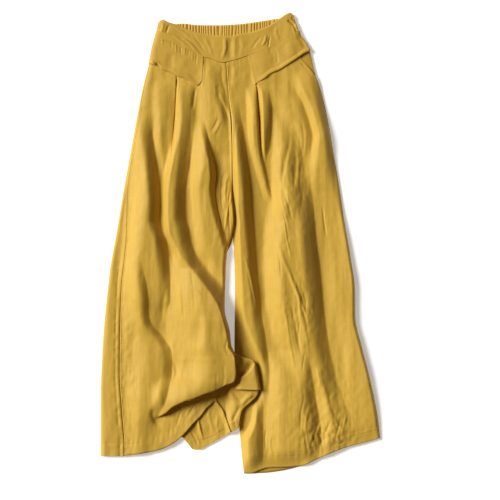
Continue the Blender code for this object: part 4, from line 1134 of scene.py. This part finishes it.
def tuck(x: Grid, y: Grid) -> Grid:
    """Lean each pleat's lip over its groove.

    Args:
        x, y: Place across and along, in mm.

    Returns:
        The new x of each point.
    """
    for pleat in PLEATS:
        x = pleat.tuck(x, y)
    return x


def linear(hex_code: str) -> tuple[float, float, float, float]:
    """Turn an sRGB hex colour to linear light.

    Args:
        hex_code: Six hex digits.

    Returns:
        Red, green, blue and an alpha of 1.
    """
    channels = []
    for start in (0, 2, 4):
        value = int(hex_code[start:start + 2], 16) / 255
        channels.append(value / 12.92 if value <= 0.04045 else ((value + 0.055) / 1.055) ** 2.4)
    return (*channels, 1.0)


def add_node(tree: Tree, kind: str, settings: dict | None = None,
             values: dict | None = None, links: dict | None = None) -> bpy.types.Node:
    """Add a node with its settings, its unlinked values and its incoming links.

    Args:
        tree: Node tree to add to.
        kind: Blender's name of the node type.
        settings: Attributes of the node.
        values: Default values of its inputs, by name or place.
        links: Output sockets to link to its inputs, by name or place.

    Returns:
        The new node.
    """
    node = tree.nodes.new(kind)
    for name, value in (settings or {}).items():
        setattr(node, name, value)
    for name, value in (values or {}).items():
        node.inputs[name].default_value = value
    for name, socket in (links or {}).items():
        tree.links.new(socket, node.inputs[name])
    return node


def new_material(name: str, values: dict) -> tuple[Finish, bpy.types.Node]:
    """Start a material.

    Args:
        name: Its name.
        values: Values of its shader's inputs, by name.

    Returns:
        The material and its shader node.
    """
    made = bpy.data.materials.new(name)
    made.use_nodes = True
    shader = made.node_tree.nodes["Principled BSDF"]
    for key, value in values.items():
        shader.inputs[key].default_value = value
    return made, shader


@dataclass(frozen=True)
class WovenLinen:
    """Washed slub linen in plain weave: matt, with uneven threads that show as fine streaks."""

    # To the eye: no clear highlight, a faint pale sheen where the cloth turns away, streaks of
    # lighter and deeper yarn along the leg and, weaker, across it, and a slightly blotchy dye.
    name: str
    colour: str
    light_slub: str
    deep_slub: str
    thread_mm: float = 2.0  # real threads lie about 0.6 mm apart; drawn coarser to show
    slub_mm: float = 2.4  # width of a thick place in a thread, drawn coarser to show
    slub_length_mm: float = 45.0
    blotch_mm: float = 71.43  # size of a lighter or deeper patch of the dye
    weft_share: float = 0.3  # how much the weft's thick places show beside the warp's
    bump_mm: float = 0.22
    bump_strength: float = 0.35
    slub_relief: float = 1.4  # how far the thick places stand out beside the weave
    deep_at: float = 0.36  # noise values that the three yarn colours stand at
    colour_at: float = 0.5
    light_at: float = 0.66
    blotch_range: tuple[float, float] = (0.95, 1.04)
    roughness: float = 0.66
    specular: float = 0.5
    sheen: float = 0.4
    sheen_roughness: float = 0.5
    sheen_colour: str = "F6ECC8"

    def streaks(self, tree: Tree, uv: Socket, along_v: bool) -> Socket:
        """Noise drawn out along the warp or the weft.

        Args:
            tree: The material's node tree.
            uv: The cloth's own coordinates, in metres.
            along_v: Whether the streaks run along the leg.

        Returns:
            The noise value.
        """
        narrow = 1 / (self.slub_mm * MM)
        lengthwise = 1 / (self.slub_length_mm * MM)
        scale = (narrow, lengthwise, 1.0) if along_v else (lengthwise, narrow, 1.0)
        mapping = add_node(tree, "ShaderNodeMapping", values={"Scale": scale}, links={"Vector": uv})
        noise = add_node(tree, "ShaderNodeTexNoise", {"noise_dimensions": "2D"},
                         {"Scale": 1.0, "Detail": 3.0, "Roughness": 0.6},
                         {"Vector": mapping.outputs["Vector"]})
        return noise.outputs["Fac"]

    def threads(self, tree: Tree, uv: Socket, direction: str) -> Socket:
        """One set of the weave's threads.

        Args:
            tree: The material's node tree.
            uv: The cloth's own coordinates, in metres.
            direction: Axis across the threads, X or Y.

        Returns:
            The threads' profile, from 0 to 1.
        """
        scale = 2 * math.pi / (WAVE_FACTOR * self.thread_mm * MM)
        wave = add_node(tree, "ShaderNodeTexWave", {"bands_direction": direction},
                        {"Scale": scale, "Distortion": 1.2, "Detail": 2.0, "Detail Scale": 0.6},
                        {"Vector": uv})
        return wave.outputs["Fac"]

    def yarn_colour(self, tree: Tree, slubs: Socket) -> Socket:
        """Colour of the yarns by how thick they are.

        Args:
            tree: The material's node tree.
            slubs: Noise of the warp and of the weft together.

        Returns:
            The colour.
        """
        share = add_node(tree, "ShaderNodeMath", {"operation": "MULTIPLY"},
                         {1: 1 / (1 + self.weft_share)}, {0: slubs})
        ramp = add_node(tree, "ShaderNodeValToRGB", links={"Fac": share.outputs[0]})
        deep, light = ramp.color_ramp.elements
        deep.position = self.deep_at
        deep.color = linear(self.deep_slub)
        light.position = self.light_at
        light.color = linear(self.light_slub)
        ramp.color_ramp.elements.new(self.colour_at).color = linear(self.colour)
        return ramp.outputs["Color"]

    def material(self) -> Finish:
        """Build the finish.

        Returns:
            The material.
        """
        made, shader = new_material(self.name, {
            "Roughness": self.roughness, "Specular IOR Level": self.specular,
            "Sheen Weight": self.sheen, "Sheen Roughness": self.sheen_roughness,
            "Sheen Tint": linear(self.sheen_colour)})
        tree = made.node_tree
        uv = add_node(tree, "ShaderNodeUVMap", {"uv_map": "cloth"}).outputs["UV"]
        warp = self.streaks(tree, uv, True)
        weft = self.streaks(tree, uv, False)
        slubs = add_node(tree, "ShaderNodeMath", {"operation": "MULTIPLY_ADD"},
                         {1: self.weft_share}, {0: weft, 2: warp}).outputs[0]
        blotch = add_node(tree, "ShaderNodeTexNoise", {"noise_dimensions": "2D"},
                          {"Scale": 1 / (self.blotch_mm * MM), "Detail": 2.0}, {"Vector": uv})
        low, high = self.blotch_range
        shade = add_node(tree, "ShaderNodeMapRange", values={"To Min": low, "To Max": high},
                         links={"Value": blotch.outputs["Fac"]})
        yarn = self.yarn_colour(tree, slubs)
        tint = add_node(tree, "ShaderNodeHueSaturation",
                        links={"Color": yarn, "Value": shade.outputs["Result"]})
        weave = add_node(tree, "ShaderNodeMath", {"operation": "MAXIMUM"},
                         links={0: self.threads(tree, uv, "X"), 1: self.threads(tree, uv, "Y")})
        relief = add_node(tree, "ShaderNodeMath", {"operation": "MULTIPLY_ADD"},
                          {1: self.slub_relief}, {0: slubs, 2: weave.outputs[0]})
        bump = add_node(tree, "ShaderNodeBump",
                        values={"Strength": self.bump_strength, "Distance": self.bump_mm * MM},
                        links={"Height": relief.outputs[0]})
        tree.links.new(tint.outputs["Color"], shader.inputs["Base Color"])
        tree.links.new(bump.outputs["Normal"], shader.inputs["Normal"])
        return made


@dataclass(frozen=True)
class SewingThread:
    """Spun polyester thread, a little smoother than the linen, in the same mustard."""

    # To the eye: a fine line, slightly glossier than the cloth, speckled by its twist.
    name: str = "sewing_thread"
    colour: str = "C79A3C"
    twist_mm: float = 1.11
    twist_range: tuple[float, float] = (0.85, 1.1)
    roughness: float = 0.6

    def material(self) -> Finish:
        """Build the finish.

        Returns:
            The material.
        """
        made, shader = new_material(self.name, {"Roughness": self.roughness})
        tree = made.node_tree
        coordinates = add_node(tree, "ShaderNodeTexCoord").outputs["Object"]
        twist = add_node(tree, "ShaderNodeTexNoise",
                         values={"Scale": 1 / (self.twist_mm * MM), "Detail": 1.0},
                         links={"Vector": coordinates})
        low, high = self.twist_range
        shade = add_node(tree, "ShaderNodeMapRange", values={"To Min": low, "To Max": high},
                         links={"Value": twist.outputs["Fac"]})
        tint = add_node(tree, "ShaderNodeHueSaturation", values={"Color": linear(self.colour)},
                        links={"Value": shade.outputs["Result"]})
        tree.links.new(tint.outputs["Color"], shader.inputs["Base Color"])
        return made


@dataclass(frozen=True)
class Cut:
    """What is known of a cloth piece before it is laid: its cut size in metres."""

    width: float
    length: float
    area: float
    held: Held = Held.LAID
    rests_on: tuple[str, ...] = ()


def deselect() -> None:
    """Leave nothing selected."""
    for obj in list(bpy.context.selected_objects):
        obj.select_set(False)


def sheet(name: str, x: Grid, y: Grid, z: Grid) -> Piece:
    """An open grid moved to the given places, with a UV map in metres along the cloth.

    Args:
        name: Name of the piece.
        x: Place of each point across the garment, in mm, first row toward the waist.
        y: Place of each point along it.
        z: Height of each point.

    Returns:
        The new object.
    """
    deselect()
    rows, columns = x.shape
    bpy.ops.mesh.primitive_grid_add(x_subdivisions=columns - 1, y_subdivisions=rows - 1, size=1)
    piece = bpy.context.object
    piece.name = name
    piece.data.name = name
    places = np.stack([x, y, z], axis=2)[::-1] * MM
    piece.data.vertices.foreach_set("co", places.reshape(-1))
    along = np.linalg.norm(np.diff(places, axis=0), axis=2).mean(axis=1)
    over = np.linalg.norm(np.diff(places, axis=1), axis=2)
    u = np.concatenate([np.zeros((rows, 1)), np.cumsum(over, axis=1)], axis=1)
    u = u - u[:, columns // 2][:, None]
    v = np.concatenate([[0.0], np.cumsum(along)])[:, None] + np.zeros_like(u)
    layer = piece.data.uv_layers.active
    layer.name = "cloth"
    corners = np.zeros(len(piece.data.loops), dtype=int)
    piece.data.loops.foreach_get("vertex_index", corners)
    flat = np.stack([u, v], axis=2).reshape(-1, 2)
    layer.data.foreach_set("uv", flat[corners].reshape(-1))
    piece.data.update()
    return piece


def select_only(piece: Piece) -> None:
    """Make a piece the active one, and the only one selected.

    Args:
        piece: The piece to select.
    """
    deselect()
    piece.select_set(True)
    bpy.context.view_layer.objects.active = piece


def thicken(piece: Piece, wall: float) -> Piece:
    """Give an open sheet its wall, half to each side, and shade it smooth.

    Args:
        piece: The open sheet.
        wall: Thickness of the wall, in mm.

    Returns:
        The same object.
    """
    solid = piece.modifiers.new("wall", "SOLIDIFY")
    solid.thickness = wall * MM
    solid.offset = 0.0
    select_only(piece)
    bpy.ops.object.modifier_apply(modifier=solid.name)
    bpy.ops.object.shade_smooth()
    return piece


def dress(piece: Piece, material: Finish, node: str = "") -> Piece:
    """Give a piece its finish and its body and, where it stands for a CAD node, hide that node's
    part.

    Args:
        piece: The finished mesh object.
        material: Its finish.
        node: CAD node that the piece replaces, or nothing.

    Returns:
        The same object.
    """
    piece.data.materials.clear()
    piece.data.materials.append(material)
    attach(piece, BODY)
    if node:
        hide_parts(node)
    LOG.info("%s: %d faces", piece.name, len(piece.data.polygons))
    return piece


@dataclass
class Seamstress:
    """Sews rows of lockstitch: a thread that lies on the cloth and dips into it."""

    finish: Finish
    radius: float = 0.34
    stitch: float = 3.2  # length of one stitch with its gap
    beats: tuple[float, ...] = (0.0, 0.16, 0.5, 0.84)  # places along one stitch
    lift: tuple[float, ...] = (-0.7, 0.30, 0.42, 0.30)  # height over the cloth there

    def row(self, name: str, x: Grid, y: Grid, surface: Surface) -> Piece:
        """Sew along a line on the cloth.

        Args:
            name: Name of the piece.
            x: Place of the line's points across the garment, in mm.
            y: Place of its points along it.
            surface: Height of the middle of the cloth's wall.

        Returns:
            The thread as a mesh.
        """
        places = np.stack([x, y, surface(x, y) + CLOTH / 2], axis=1)
        run = run_of(places)
        count = max(2, int(run[-1] / self.stitch))
        at = ((np.arange(count)[:, None] + np.array(self.beats)) / count * run[-1]).reshape(-1)
        line = bpy.data.curves.new(name, "CURVE")
        line.dimensions = "3D"
        line.bevel_depth = self.radius * MM
        line.bevel_resolution = 1
        spline = line.splines.new("POLY")
        spline.points.add(len(at) - 1)
        spots = np.stack([np.interp(at, run, places[:, axis]) for axis in range(3)], axis=1)
        spots[:, 2] += np.tile(self.lift, count)
        weighted = np.concatenate([spots * MM, np.ones((len(at), 1))], axis=1)
        spline.points.foreach_set("co", weighted.reshape(-1))
        thread = bpy.data.objects.new(name, line)
        bpy.context.scene.collection.objects.link(thread)
        select_only(thread)
        bpy.ops.object.convert(target="MESH")
        return dress(bpy.context.object, self.finish)


@dataclass(frozen=True)
class MoundLip:
    """How the knee mound's edge hangs over the crevice beside and under it."""

    lean: float = 13.0  # how far it hangs over
    width: float = 60.0  # how far back from the crest the cloth still leans
    narrowing: float = 42.0  # how much less that is toward the mound's tip
    tip: float = -330.0  # y where the tip begins
    tip_length: float = 45.0
    top: float = -225.0  # y where the edge starts to hang
    top_length: float = 30.0  # length over which it sets in
    bottom: float = -396.0  # y where it ends
    bottom_length: float = 44.0  # length over which it fades out
    turn: float = 70.0  # angle that it turns by, from sideways to downward
    turn_from: float = -268.0
    turn_length: float = 40.0

    def hang(self, x: Grid, y: Grid) -> tuple[Grid, Grid]:
        """Move the edge out over the crevice.

        Args:
            x, y: Place across and along, in mm.

        Returns:
            The new x and y.
        """
        _, _, fall, rows = MOUND_LIP
        from_foot = smooth(rows, y, 2) - x
        width = self.width - self.narrowing * ease((self.tip - y) / self.tip_length)
        crest = ease(from_foot / fall) * bell(np.maximum(from_foot - fall, 0), width)
        along = ease((self.top - y) / self.top_length)
        along = along * ease((y - self.bottom) / self.bottom_length)
        turn = math.radians(self.turn) * ease((self.turn_from - y) / self.turn_length)
        lean = self.lean * crest * along
        return x + lean * np.cos(turn), y - lean * np.sin(turn)


@dataclass
class FrontLegs:
    """The two front legs, with their pleats, hems and the mound above the turned hem."""

    lie: Lie
    linen: Finish
    thread: Seamstress
    mesh: tuple[int, int] = (168, 290)  # mesh faces across and along each leg
    lip: MoundLip = MoundLip()
    centre_row: float = 3.0  # how far beside the centre seam its stitches run
    centre_line: tuple[float, float, int] = (392, 150, 400)  # y of its ends, and its points
    pocket_line: tuple[float, float, int] = (126, 158, 80)  # x of the pocket row's, likewise
    pocket_top: float = 402.0  # y where that row starts
    pocket_slant: float = 1.35  # how steeply it runs down

    def right(self) -> Piece:
        """The right front leg.

        Returns:
            The finished mesh.
        """
        x, y = lay_out("front_right", *self.mesh)
        y = trim(x, y, "waist_seam", "right_hem", WAIST_GAP)
        x[:, 0] = edge_x("right_outseam", y[:, 0]) + SEAM_GAP
        x[:, -1] -= SEAM_GAP / 2
        z = self.lie.right(x, y)
        x, y = self.lip.hang(tuck(x, y), y)
        return thicken(sheet("right_front_cloth", x, y, z), CLOTH)

    def left(self) -> Piece:
        """The left front leg.

        Returns:
            The finished mesh.
        """
        x, y = lay_out("front_left", *self.mesh)
        y = trim(x, y, "waist_seam", "left_hem", WAIST_GAP)
        x[:, 0] += SEAM_GAP / 2
        z = self.lie.left(x, y)
        return thicken(sheet("left_front_cloth", tuck(x, y), y, z), CLOTH)

    def stitches(self) -> list[Piece]:
        """Stitches along the hems, beside the centre seam and along the slant pocket.

        Returns:
            The rows, that of the right leg first.
        """
        made = []
        for name, hem, start, end, points, depth in HEM_STITCHES:
            x = np.linspace(start, end, points)
            surface = self.lie.right if hem == "right_hem" else self.lie.left
            made.append(self.thread.row(name, x, across_y(hem, x) + depth, surface))
        y = np.linspace(*self.centre_line)
        x = edge_x("centre_seam", y) + self.centre_row
        made.append(self.thread.row("centre_seam_stitches", x, y, self.lie.left))
        x = np.linspace(*self.pocket_line)
        y = self.pocket_top - self.pocket_slant * (x - x[0])
        made.append(self.thread.row("pocket_stitches", x, y, self.lie.left))
        return made

    def build(self) -> None:
        """Make and dress both legs."""
        right = dress(self.right(), self.linen, "front_leg_right")
        left = dress(self.left(), self.linen, "front_leg_left")
        rows = self.stitches()


@dataclass(frozen=True)
class TurnedEnd:
    """The end of the right back leg, which is turned up and shows its wrong side."""

    climb_x: float = -35.0  # from here it climbs over the left leg
    climb_y: float = -238.0
    climb_along_x: float = 17.0  # length over which it does
    climb_along_y: float = 13.0
    climb_height: float = 9.0
    shows_from: float = -296.0  # y under which it isn't covered by the front
    shows_fade: float = 12.0
    left_from: float = -140.0  # x from which it isn't covered by the front
    left_fade: float = 20.0
    body: float = 3.4  # height of its soft folds, and of the waves on them
    wave: float = 1.5
    ripple: float = 0.5
    waves: Ripple = Ripple(24, 36, 41)
    ripples: Ripple = Ripple(6, 12, 43)

    def relief(self, x: Grid, y: Grid) -> Grid:
        """Relief of the part that shows: soft folds and wrinkles.

        Args:
            x, y: Place across and along, in mm.

        Returns:
            The height, in mm.
        """
        shown = ease((self.shows_from - y) / self.shows_fade)
        shown = shown * ease((x - self.left_from) / self.left_fade)
        soft = self.body + self.wave * self.waves.at(x + y, y - x)
        soft = soft + self.ripple * self.ripples.at(x, y)
        return shown * np.maximum(soft + wrinkles(INSIDE_WRINKLES, x, y), 0)

    def height(self, x: Grid, y: Grid) -> Grid:
        """Height of the middle of the right back leg's wall.

        Args:
            x, y: Place across and along, in mm.

        Returns:
            The height, in mm.
        """
        climb = ease((x - self.climb_x) / self.climb_along_x)
        climb = climb * ease((self.climb_y - y) / self.climb_along_y)
        return BACK_MIDDLE + (self.climb_height - BACK_MIDDLE) * climb + self.relief(x, y)


@dataclass
class BackLegs:
    """The two back legs: flat below, one turned around the side, one end wrong side up."""

    lie: Lie
    linen: Finish
    thread: Seamstress
    end: TurnedEnd = TurnedEnd()
    right_mesh: tuple[int, int] = (150, 230)  # mesh faces across and along, flat below
    right_crowding: float = 1.4  # how strongly its rows crowd toward the hem
    left_mesh: tuple[int, int] = (90, 150)
    turn_angles: tuple[float, ...] = (22.5, 45.0, 67.5)  # mesh columns around the side
    over_columns: int = 30  # mesh columns from the side to the outseam
    over_crowding: float = 1.5  # how strongly those crowd toward the side
    seat_parts: float = 5.0  # y under which the two legs are parted
    seat_fade: float = 10.0  # length over which their seam closes above that
    outseam_row: float = 2.2  # how far beside the outseam its stitches run
    outseam_line: tuple[float, float, int] = (300, -462, 900)  # y of its ends, and its points
    hem_points: int = 120  # points on the turned end's row of stitches
    allowance_mesh: tuple[int, int] = (120, 9)  # mesh points along and across it
    allowance_width: float = 7.5
    overlock_pitch: float = 5.0  # length of one wave of the overlocked edge
    overlock_wave: float = 0.22  # how much it changes the allowance's width
    allowance_slant: float = 0.5  # how far the allowance leans along y, beside x
    allowance_stand: float = 1.2  # how far its lower edge stands off the cloth
    allowance_rise: float = 1.6  # how much higher its middle stands than that
    bend: float = 0.6  # how far it bends along y
    bends: Ripple = Ripple(11, 40, 91)
    curl: float = 0.5  # how far it curls up and down
    curls: Ripple = Ripple(8, 3, 93)

    def right(self) -> Piece:
        """The right back leg, with the strip that turns around the side to the outseam.

        Returns:
            The finished mesh.
        """
        x, y = lay_out("back_right", *self.right_mesh, self.right_crowding)
        y = trim(x, y, "back_band_seam", gap=SEAM_GAP)
        z = self.end.height(x, y)
        x[:, -1] += SEAT_REACH * ease((y[:, -1] - self.seat_parts) / self.seat_fade)
        side_y = y[:, :1]
        side_x = edge_x("right_outline", side_y)
        x[:, :1] = side_x + TURN
        turn = np.radians(self.turn_angles) + np.zeros_like(side_y)
        turn_x = side_x + TURN * (1 - np.cos(turn))
        turn_z = BACK_MIDDLE + TURN * (1 - np.sin(turn))
        over = (np.linspace(1, 0, self.over_columns) ** self.over_crowding)[None]
        over_x = side_x + (edge_x("right_outseam", side_y) - SEAM_GAP - side_x) * over
        over_y = side_y + np.zeros_like(over_x)
        over_z = self.lie.right(over_x, over_y)
        x = np.concatenate([over_x, turn_x, x], axis=1)
        y = np.concatenate([over_y, side_y + np.zeros_like(turn_x), y], axis=1)
        z = np.concatenate([over_z, turn_z, z], axis=1)
        return thicken(sheet("right_back_cloth", x, y, z), CLOTH)

    def left(self) -> Piece:
        """The left back leg.

        Returns:
            The finished mesh.
        """
        x, y = lay_out("back_left", *self.left_mesh)
        y = trim(x, y, "back_band_seam", "left_back_hem", SEAM_GAP)
        x[:, 0] -= SEAT_REACH * ease((y[:, 0] - self.seat_parts) / self.seat_fade)
        return thicken(sheet("left_back_cloth", x, y, np.full_like(x, BACK_MIDDLE)), CLOTH)

    def allowance(self) -> Piece:
        """The overlocked seam allowance that stands up from the wrong side.

        Returns:
            The finished mesh.
        """
        line = np.array(ALLOWANCE, float)
        run = run_of(line)
        lengthwise, crosswise = self.allowance_mesh
        at = np.linspace(0, run[-1], lengthwise)[:, None]
        across = np.linspace(-1, 1, crosswise)[None]
        wave = 1 + self.overlock_wave * np.sin(2 * math.pi * at / self.overlock_pitch)
        half = self.allowance_width / 2 * wave
        x = smooth(tuple(zip(run, line[:, 0])), at) + across * half
        y = smooth(tuple(zip(run, line[:, 1])), at) + across * half * self.allowance_slant
        y = y + self.bend * self.bends.at(at, across)
        lifted = self.allowance_stand + self.allowance_rise * (across + 1)
        z = self.end.height(x, y) + lifted + self.curl * self.curls.at(at, across)
        return thicken(sheet("inside_seam_allowance", x, y, z), CLOTH)

    def stitches(self) -> list[Piece]:
        """Stitches beside the outseam and along the hem of the turned end.

        Returns:
            The two rows.
        """
        y = np.linspace(*self.outseam_line)
        x = edge_x("right_outseam", y) + self.outseam_row
        outseam = self.thread.row("outseam_stitches", x, y, self.lie.right)
        line = np.array(END_HEM, float)
        share = np.linspace(0, 1, len(line))
        fine = np.linspace(0, 1, self.hem_points)
        x = np.interp(fine, share, line[:, 0])
        y = np.interp(fine, share, line[:, 1])
        return [outseam, self.thread.row("end_hem_stitches", x, y, self.end.height)]

    def build(self) -> None:
        """Make and dress both legs."""
        right = dress(self.right(), self.linen, "back_leg_right")
        left = dress(self.left(), self.linen, "back_leg_left")
        allowance = dress(self.allowance(), self.linen)
        extras = [*self.stitches(), allowance]


@dataclass
class Waistband:
    """The smooth front waistband and the gathered elastic one behind it."""

    lie: Lie
    linen: Finish
    front_mesh: tuple[int, int] = (260, 44)  # mesh faces across and along
    back_rows: int = 30  # mesh faces along the back band
    over_front: float = 0.75  # from the middle of the front's wall to the middle of its own
    unrest: float = 0.45  # height of the soft waves of the front band
    unrest_waves: Ripple = Ripple(9, 16, 51)
    edge_turn: float = 0.9  # how far the front band's top edge rolls down
    edge_share: float = 0.03  # share of the way down over which it does
    gathers: int = 41
    gather_depth: float = 1.2
    gather_columns: int = 12  # mesh columns in one gather
    gather_round: float = 0.8  # how round its crest is, 1 for a cosine
    gather_low: float = 1.2  # how far its valley lies under the band, in its own depths
    body: float = 4.3  # height of the back band, without its gathers
    end: float = 1.8  # height at its ends
    taper: float = 22.0  # length over which it comes down to them
    swerve: float = 3.2  # how far a gather strays from its place
    swerves: Ripple = Ripple(17, 400, 61)
    shiver: float = 1.2
    shivers: Ripple = Ripple(8, 26, 63)
    usual_depth: float = 0.7  # share of their depth that the gathers have on average
    depth_change: float = 0.5  # how much that changes from one to the next
    depths: Ripple = Ripple(9, 60, 65)
    top_press: float = 0.5  # share of its height that it loses at its top edge
    top_share: float = 0.02  # share of the way down over which it does

    def front(self) -> Piece:
        """The front waistband.

        Returns:
            The finished mesh.
        """
        x, _ = lay_out("front_waistband", *self.front_mesh)
        y, share = between(x, "band_top", "waist_seam")
        x, y, z = moved_out(self.lie.calm, x, y, self.over_front)
        z = z + self.unrest * self.unrest_waves.at(x, y) * np.sin(math.pi * share)
        z = z + wrinkles(BAND_WRINKLES, x, y) - self.edge_turn * bell(share, self.edge_share)
        return thicken(sheet("front_band_cloth", x, y, z), BAND_CLOTH)

    def back(self) -> Piece:
        """The elastic waistband: gathered on top, flat where it lies on the surface.

        Returns:
            The finished mesh.
        """
        x, _ = lay_out("back_waistband", self.gather_columns * self.gathers, self.back_rows)
        y, share = between(x, "back_band_top", "back_band_seam")
        drift = self.swerve * self.swerves.at(x, y) + self.shiver * self.shivers.at(x, y)
        pitch = (x[0, -1] - x[0, 0]) / self.gathers
        turn = math.pi * (x - x[0, 0] + drift) / pitch
        wave = 2 * np.abs(np.cos(turn)) ** self.gather_round - self.gather_low
        inside = ease(np.minimum(x - x[:, :1], x[:, -1:] - x) / self.taper)
        uneven = self.usual_depth + self.depth_change * self.depths.at(x, y)
        z = self.end + (self.body - self.end) * inside + self.gather_depth * wave * inside * uneven
        z = z * (1 - self.top_press * bell(share, self.top_share)) - CLOTH / 2
        return thicken(sheet("back_band_cloth", x, y, z), CLOTH)

    def build(self) -> None:
        """Make and dress both bands."""
        front = dress(self.front(), self.linen, "front_waistband")
        back = dress(self.back(), self.linen, "back_waistband")


@dataclass
class HipFlaps:
    """Two flaps that hang from the waist seam, free along their slanted hems."""

    lie: Lie
    linen: Finish
    mesh: tuple[int, int] = (110, 90)  # mesh faces across and along
    gap: float = 2.3  # from the middle of the front's wall to the middle of its own
    flush: float = 0.9  # how much closer it lies at its sewn inner edge
    flush_width: float = 12.0
    unrest: float = 0.4  # height of its soft waves
    unrest_share: float = 0.25  # share of the way down over which they set in
    unrest_waves: Ripple = Ripple(11, 17, 71)
    hem_lift: float = 1.8  # how far the free hem stands off the front
    lift_from: float = 0.8  # share of the way down where it starts to, and over what share
    lift_share: float = 0.14
    lift_inside: float = 25.0  # how far from the sewn edge it is free to
    hem_roll: float = 2.2  # how far its edge rolls back down, in the same way
    roll_from: float = 0.96
    roll_share: float = 0.04
    roll_inside: float = 12.0

    def flap(self, side: str, sewn_column: int) -> Piece:
        """Make one flap.

        Args:
            side: The wearer's side, right or left.
            sewn_column: Column of the mesh at its sewn inner edge.

        Returns:
            The finished mesh.
        """
        x, _ = lay_out(side + "_hip_flap", *self.mesh)
        y, share = between(x, "waist_seam", side + "_flap_hem", WAIST_GAP)
        inner = np.abs(x - x[:, sewn_column][:, None])
        gap = self.gap - self.flush * bell(inner, self.flush_width)
        x, y, z = moved_out(self.lie.calm, x, y, gap)
        z = z + wrinkles(FLAP_WRINKLES, x, y)
        z = z + self.unrest * self.unrest_waves.at(x, y) * ease(share / self.unrest_share)
        lift = ease((share - self.lift_from) / self.lift_share) * ease(inner / self.lift_inside)
        rolled = ease((share - self.roll_from) / self.roll_share) * ease(inner / self.roll_inside)
        z = z + self.hem_lift * lift - self.hem_roll * rolled
        return thicken(sheet(side + "_hip_flap_cloth", x, y, z), FLAP_CLOTH)

    def build(self) -> None:
        """Make and dress both flaps."""
        for side, sewn_column in (("right", -1), ("left", 0)):
            cloth = self.flap(side, sewn_column)
            piece = dress(cloth, self.linen, side + "_hip_flap")


@dataclass
class PocketSide:
    """The side piece inside the left slant pocket."""

    lie: Lie
    linen: Finish
    mesh: tuple[int, int] = (40, 50)  # mesh faces across and along
    under_front: float = 1.7  # from the middle of the front's wall to the middle of its own

    def build(self) -> None:
        x, y = lay_out("left_pocket_side", *self.mesh)
        x, y, z = moved_out(self.lie.calm, x, y, -self.under_front)
        piece = thicken(sheet("pocket_side_cloth", x, y, z), CLOTH)
        dress(piece, self.linen, "left_pocket_side")


@dataclass(frozen=True)
class Studio:
    """A pale floor, a soft key light from the wearer's right, and a camera straight above."""

    view_m: float = 1.1  # width that the camera sees
    centre: tuple[float, float] = (0.0209, -0.0150)
    distance: float = 6.0
    sensor: float = 36.0
    key_strength: float = 4.65
    key_softness: float = 28.0
    key_colour: tuple[float, float, float] = (0.98, 1.0, 1.04)
    key_turn: float = 22.0  # how far the key light stands toward the waist
    key_rise: float = 35.0
    fill: float = 0.11
    fill_colour: tuple[float, float, float, float] = (1.0, 0.74, 0.4, 1)
    floor_size: float = 12.0
    floor_gap: float = 0.0005  # how far under the garment the floor lies
    floor_colour: str = "F7F7F7"
    floor_roughness: float = 0.9
    floor_glow: float = 0.36  # the surface is overexposed, so shadows on it stay pale

    def floor(self) -> None:
        """The surface that the garment lies on."""
        deselect()
        bpy.ops.mesh.primitive_plane_add(size=self.floor_size, location=(0, 0, -self.floor_gap))
        floor = bpy.context.object
        floor.name = "floor"
        # Matt white card: to the eye an even, almost pure white that takes only pale shadows.
        material, _ = new_material("matt_white_floor", {
            "Base Color": linear(self.floor_colour), "Roughness": self.floor_roughness,
            "Emission Color": (1, 1, 1, 1), "Emission Strength": self.floor_glow})
        floor.data.materials.append(material)

    def lights(self) -> None:
        """The key light, and a weak warm fill from all around, as the cloth itself throws back."""
        key = bpy.data.lights.new("key", "SUN")
        key.energy = self.key_strength
        key.angle = math.radians(self.key_softness)
        key.color = self.key_colour
        lamp = bpy.data.objects.new("key", key)
        turn = math.radians(self.key_turn)
        rise = math.radians(self.key_rise)
        level = math.cos(rise)
        toward = Vector((-math.cos(turn) * level, math.sin(turn) * level, math.sin(rise)))
        lamp.rotation_euler = toward.to_track_quat("Z", "Y").to_euler()
        bpy.context.scene.collection.objects.link(lamp)
        world = bpy.data.worlds.new("studio")
        world.use_nodes = True
        world.node_tree.nodes["Background"].inputs["Color"].default_value = self.fill_colour
        world.node_tree.nodes["Background"].inputs["Strength"].default_value = self.fill
        bpy.context.scene.world = world
        bpy.context.scene.view_settings.view_transform = "Standard"

    def camera(self) -> None:
        """The camera, straight above."""
        camera = bpy.data.cameras.new("camera")
        camera.sensor_width = self.sensor
        camera.lens = self.sensor * self.distance / self.view_m
        camera.clip_end = 100
        eye = bpy.data.objects.new("camera", camera)
        eye.location = (*self.centre, self.distance)
        bpy.context.scene.collection.objects.link(eye)
        bpy.context.scene.camera = eye

    def build(self) -> None:
        """Set up the floor, the lights and the camera."""
        self.floor()
        self.lights()
        self.camera()


def main() -> None:
    """Build the garment and the studio."""
    logging.basicConfig(level=logging.INFO)
    lie = Lie()
    thread = Seamstress(SewingThread().material())
    outside = WovenLinen("washed_linen", "CAA02E", "CFA534", "C59B2A").material()
    band = WovenLinen("washed_linen_band", "C79C2C", "CCA132", "C29728").material()
    inside = WovenLinen("washed_linen_back", "C3972A", "C89C30", "BE9226").material()
    FrontLegs(lie, outside, thread).build()
    BackLegs(lie, outside, thread).build()
    Waistband(lie, band).build()
    HipFlaps(lie, band).build()
    PocketSide(lie, inside).build()
    Studio().build()


if __name__ == "__main__":
    main()
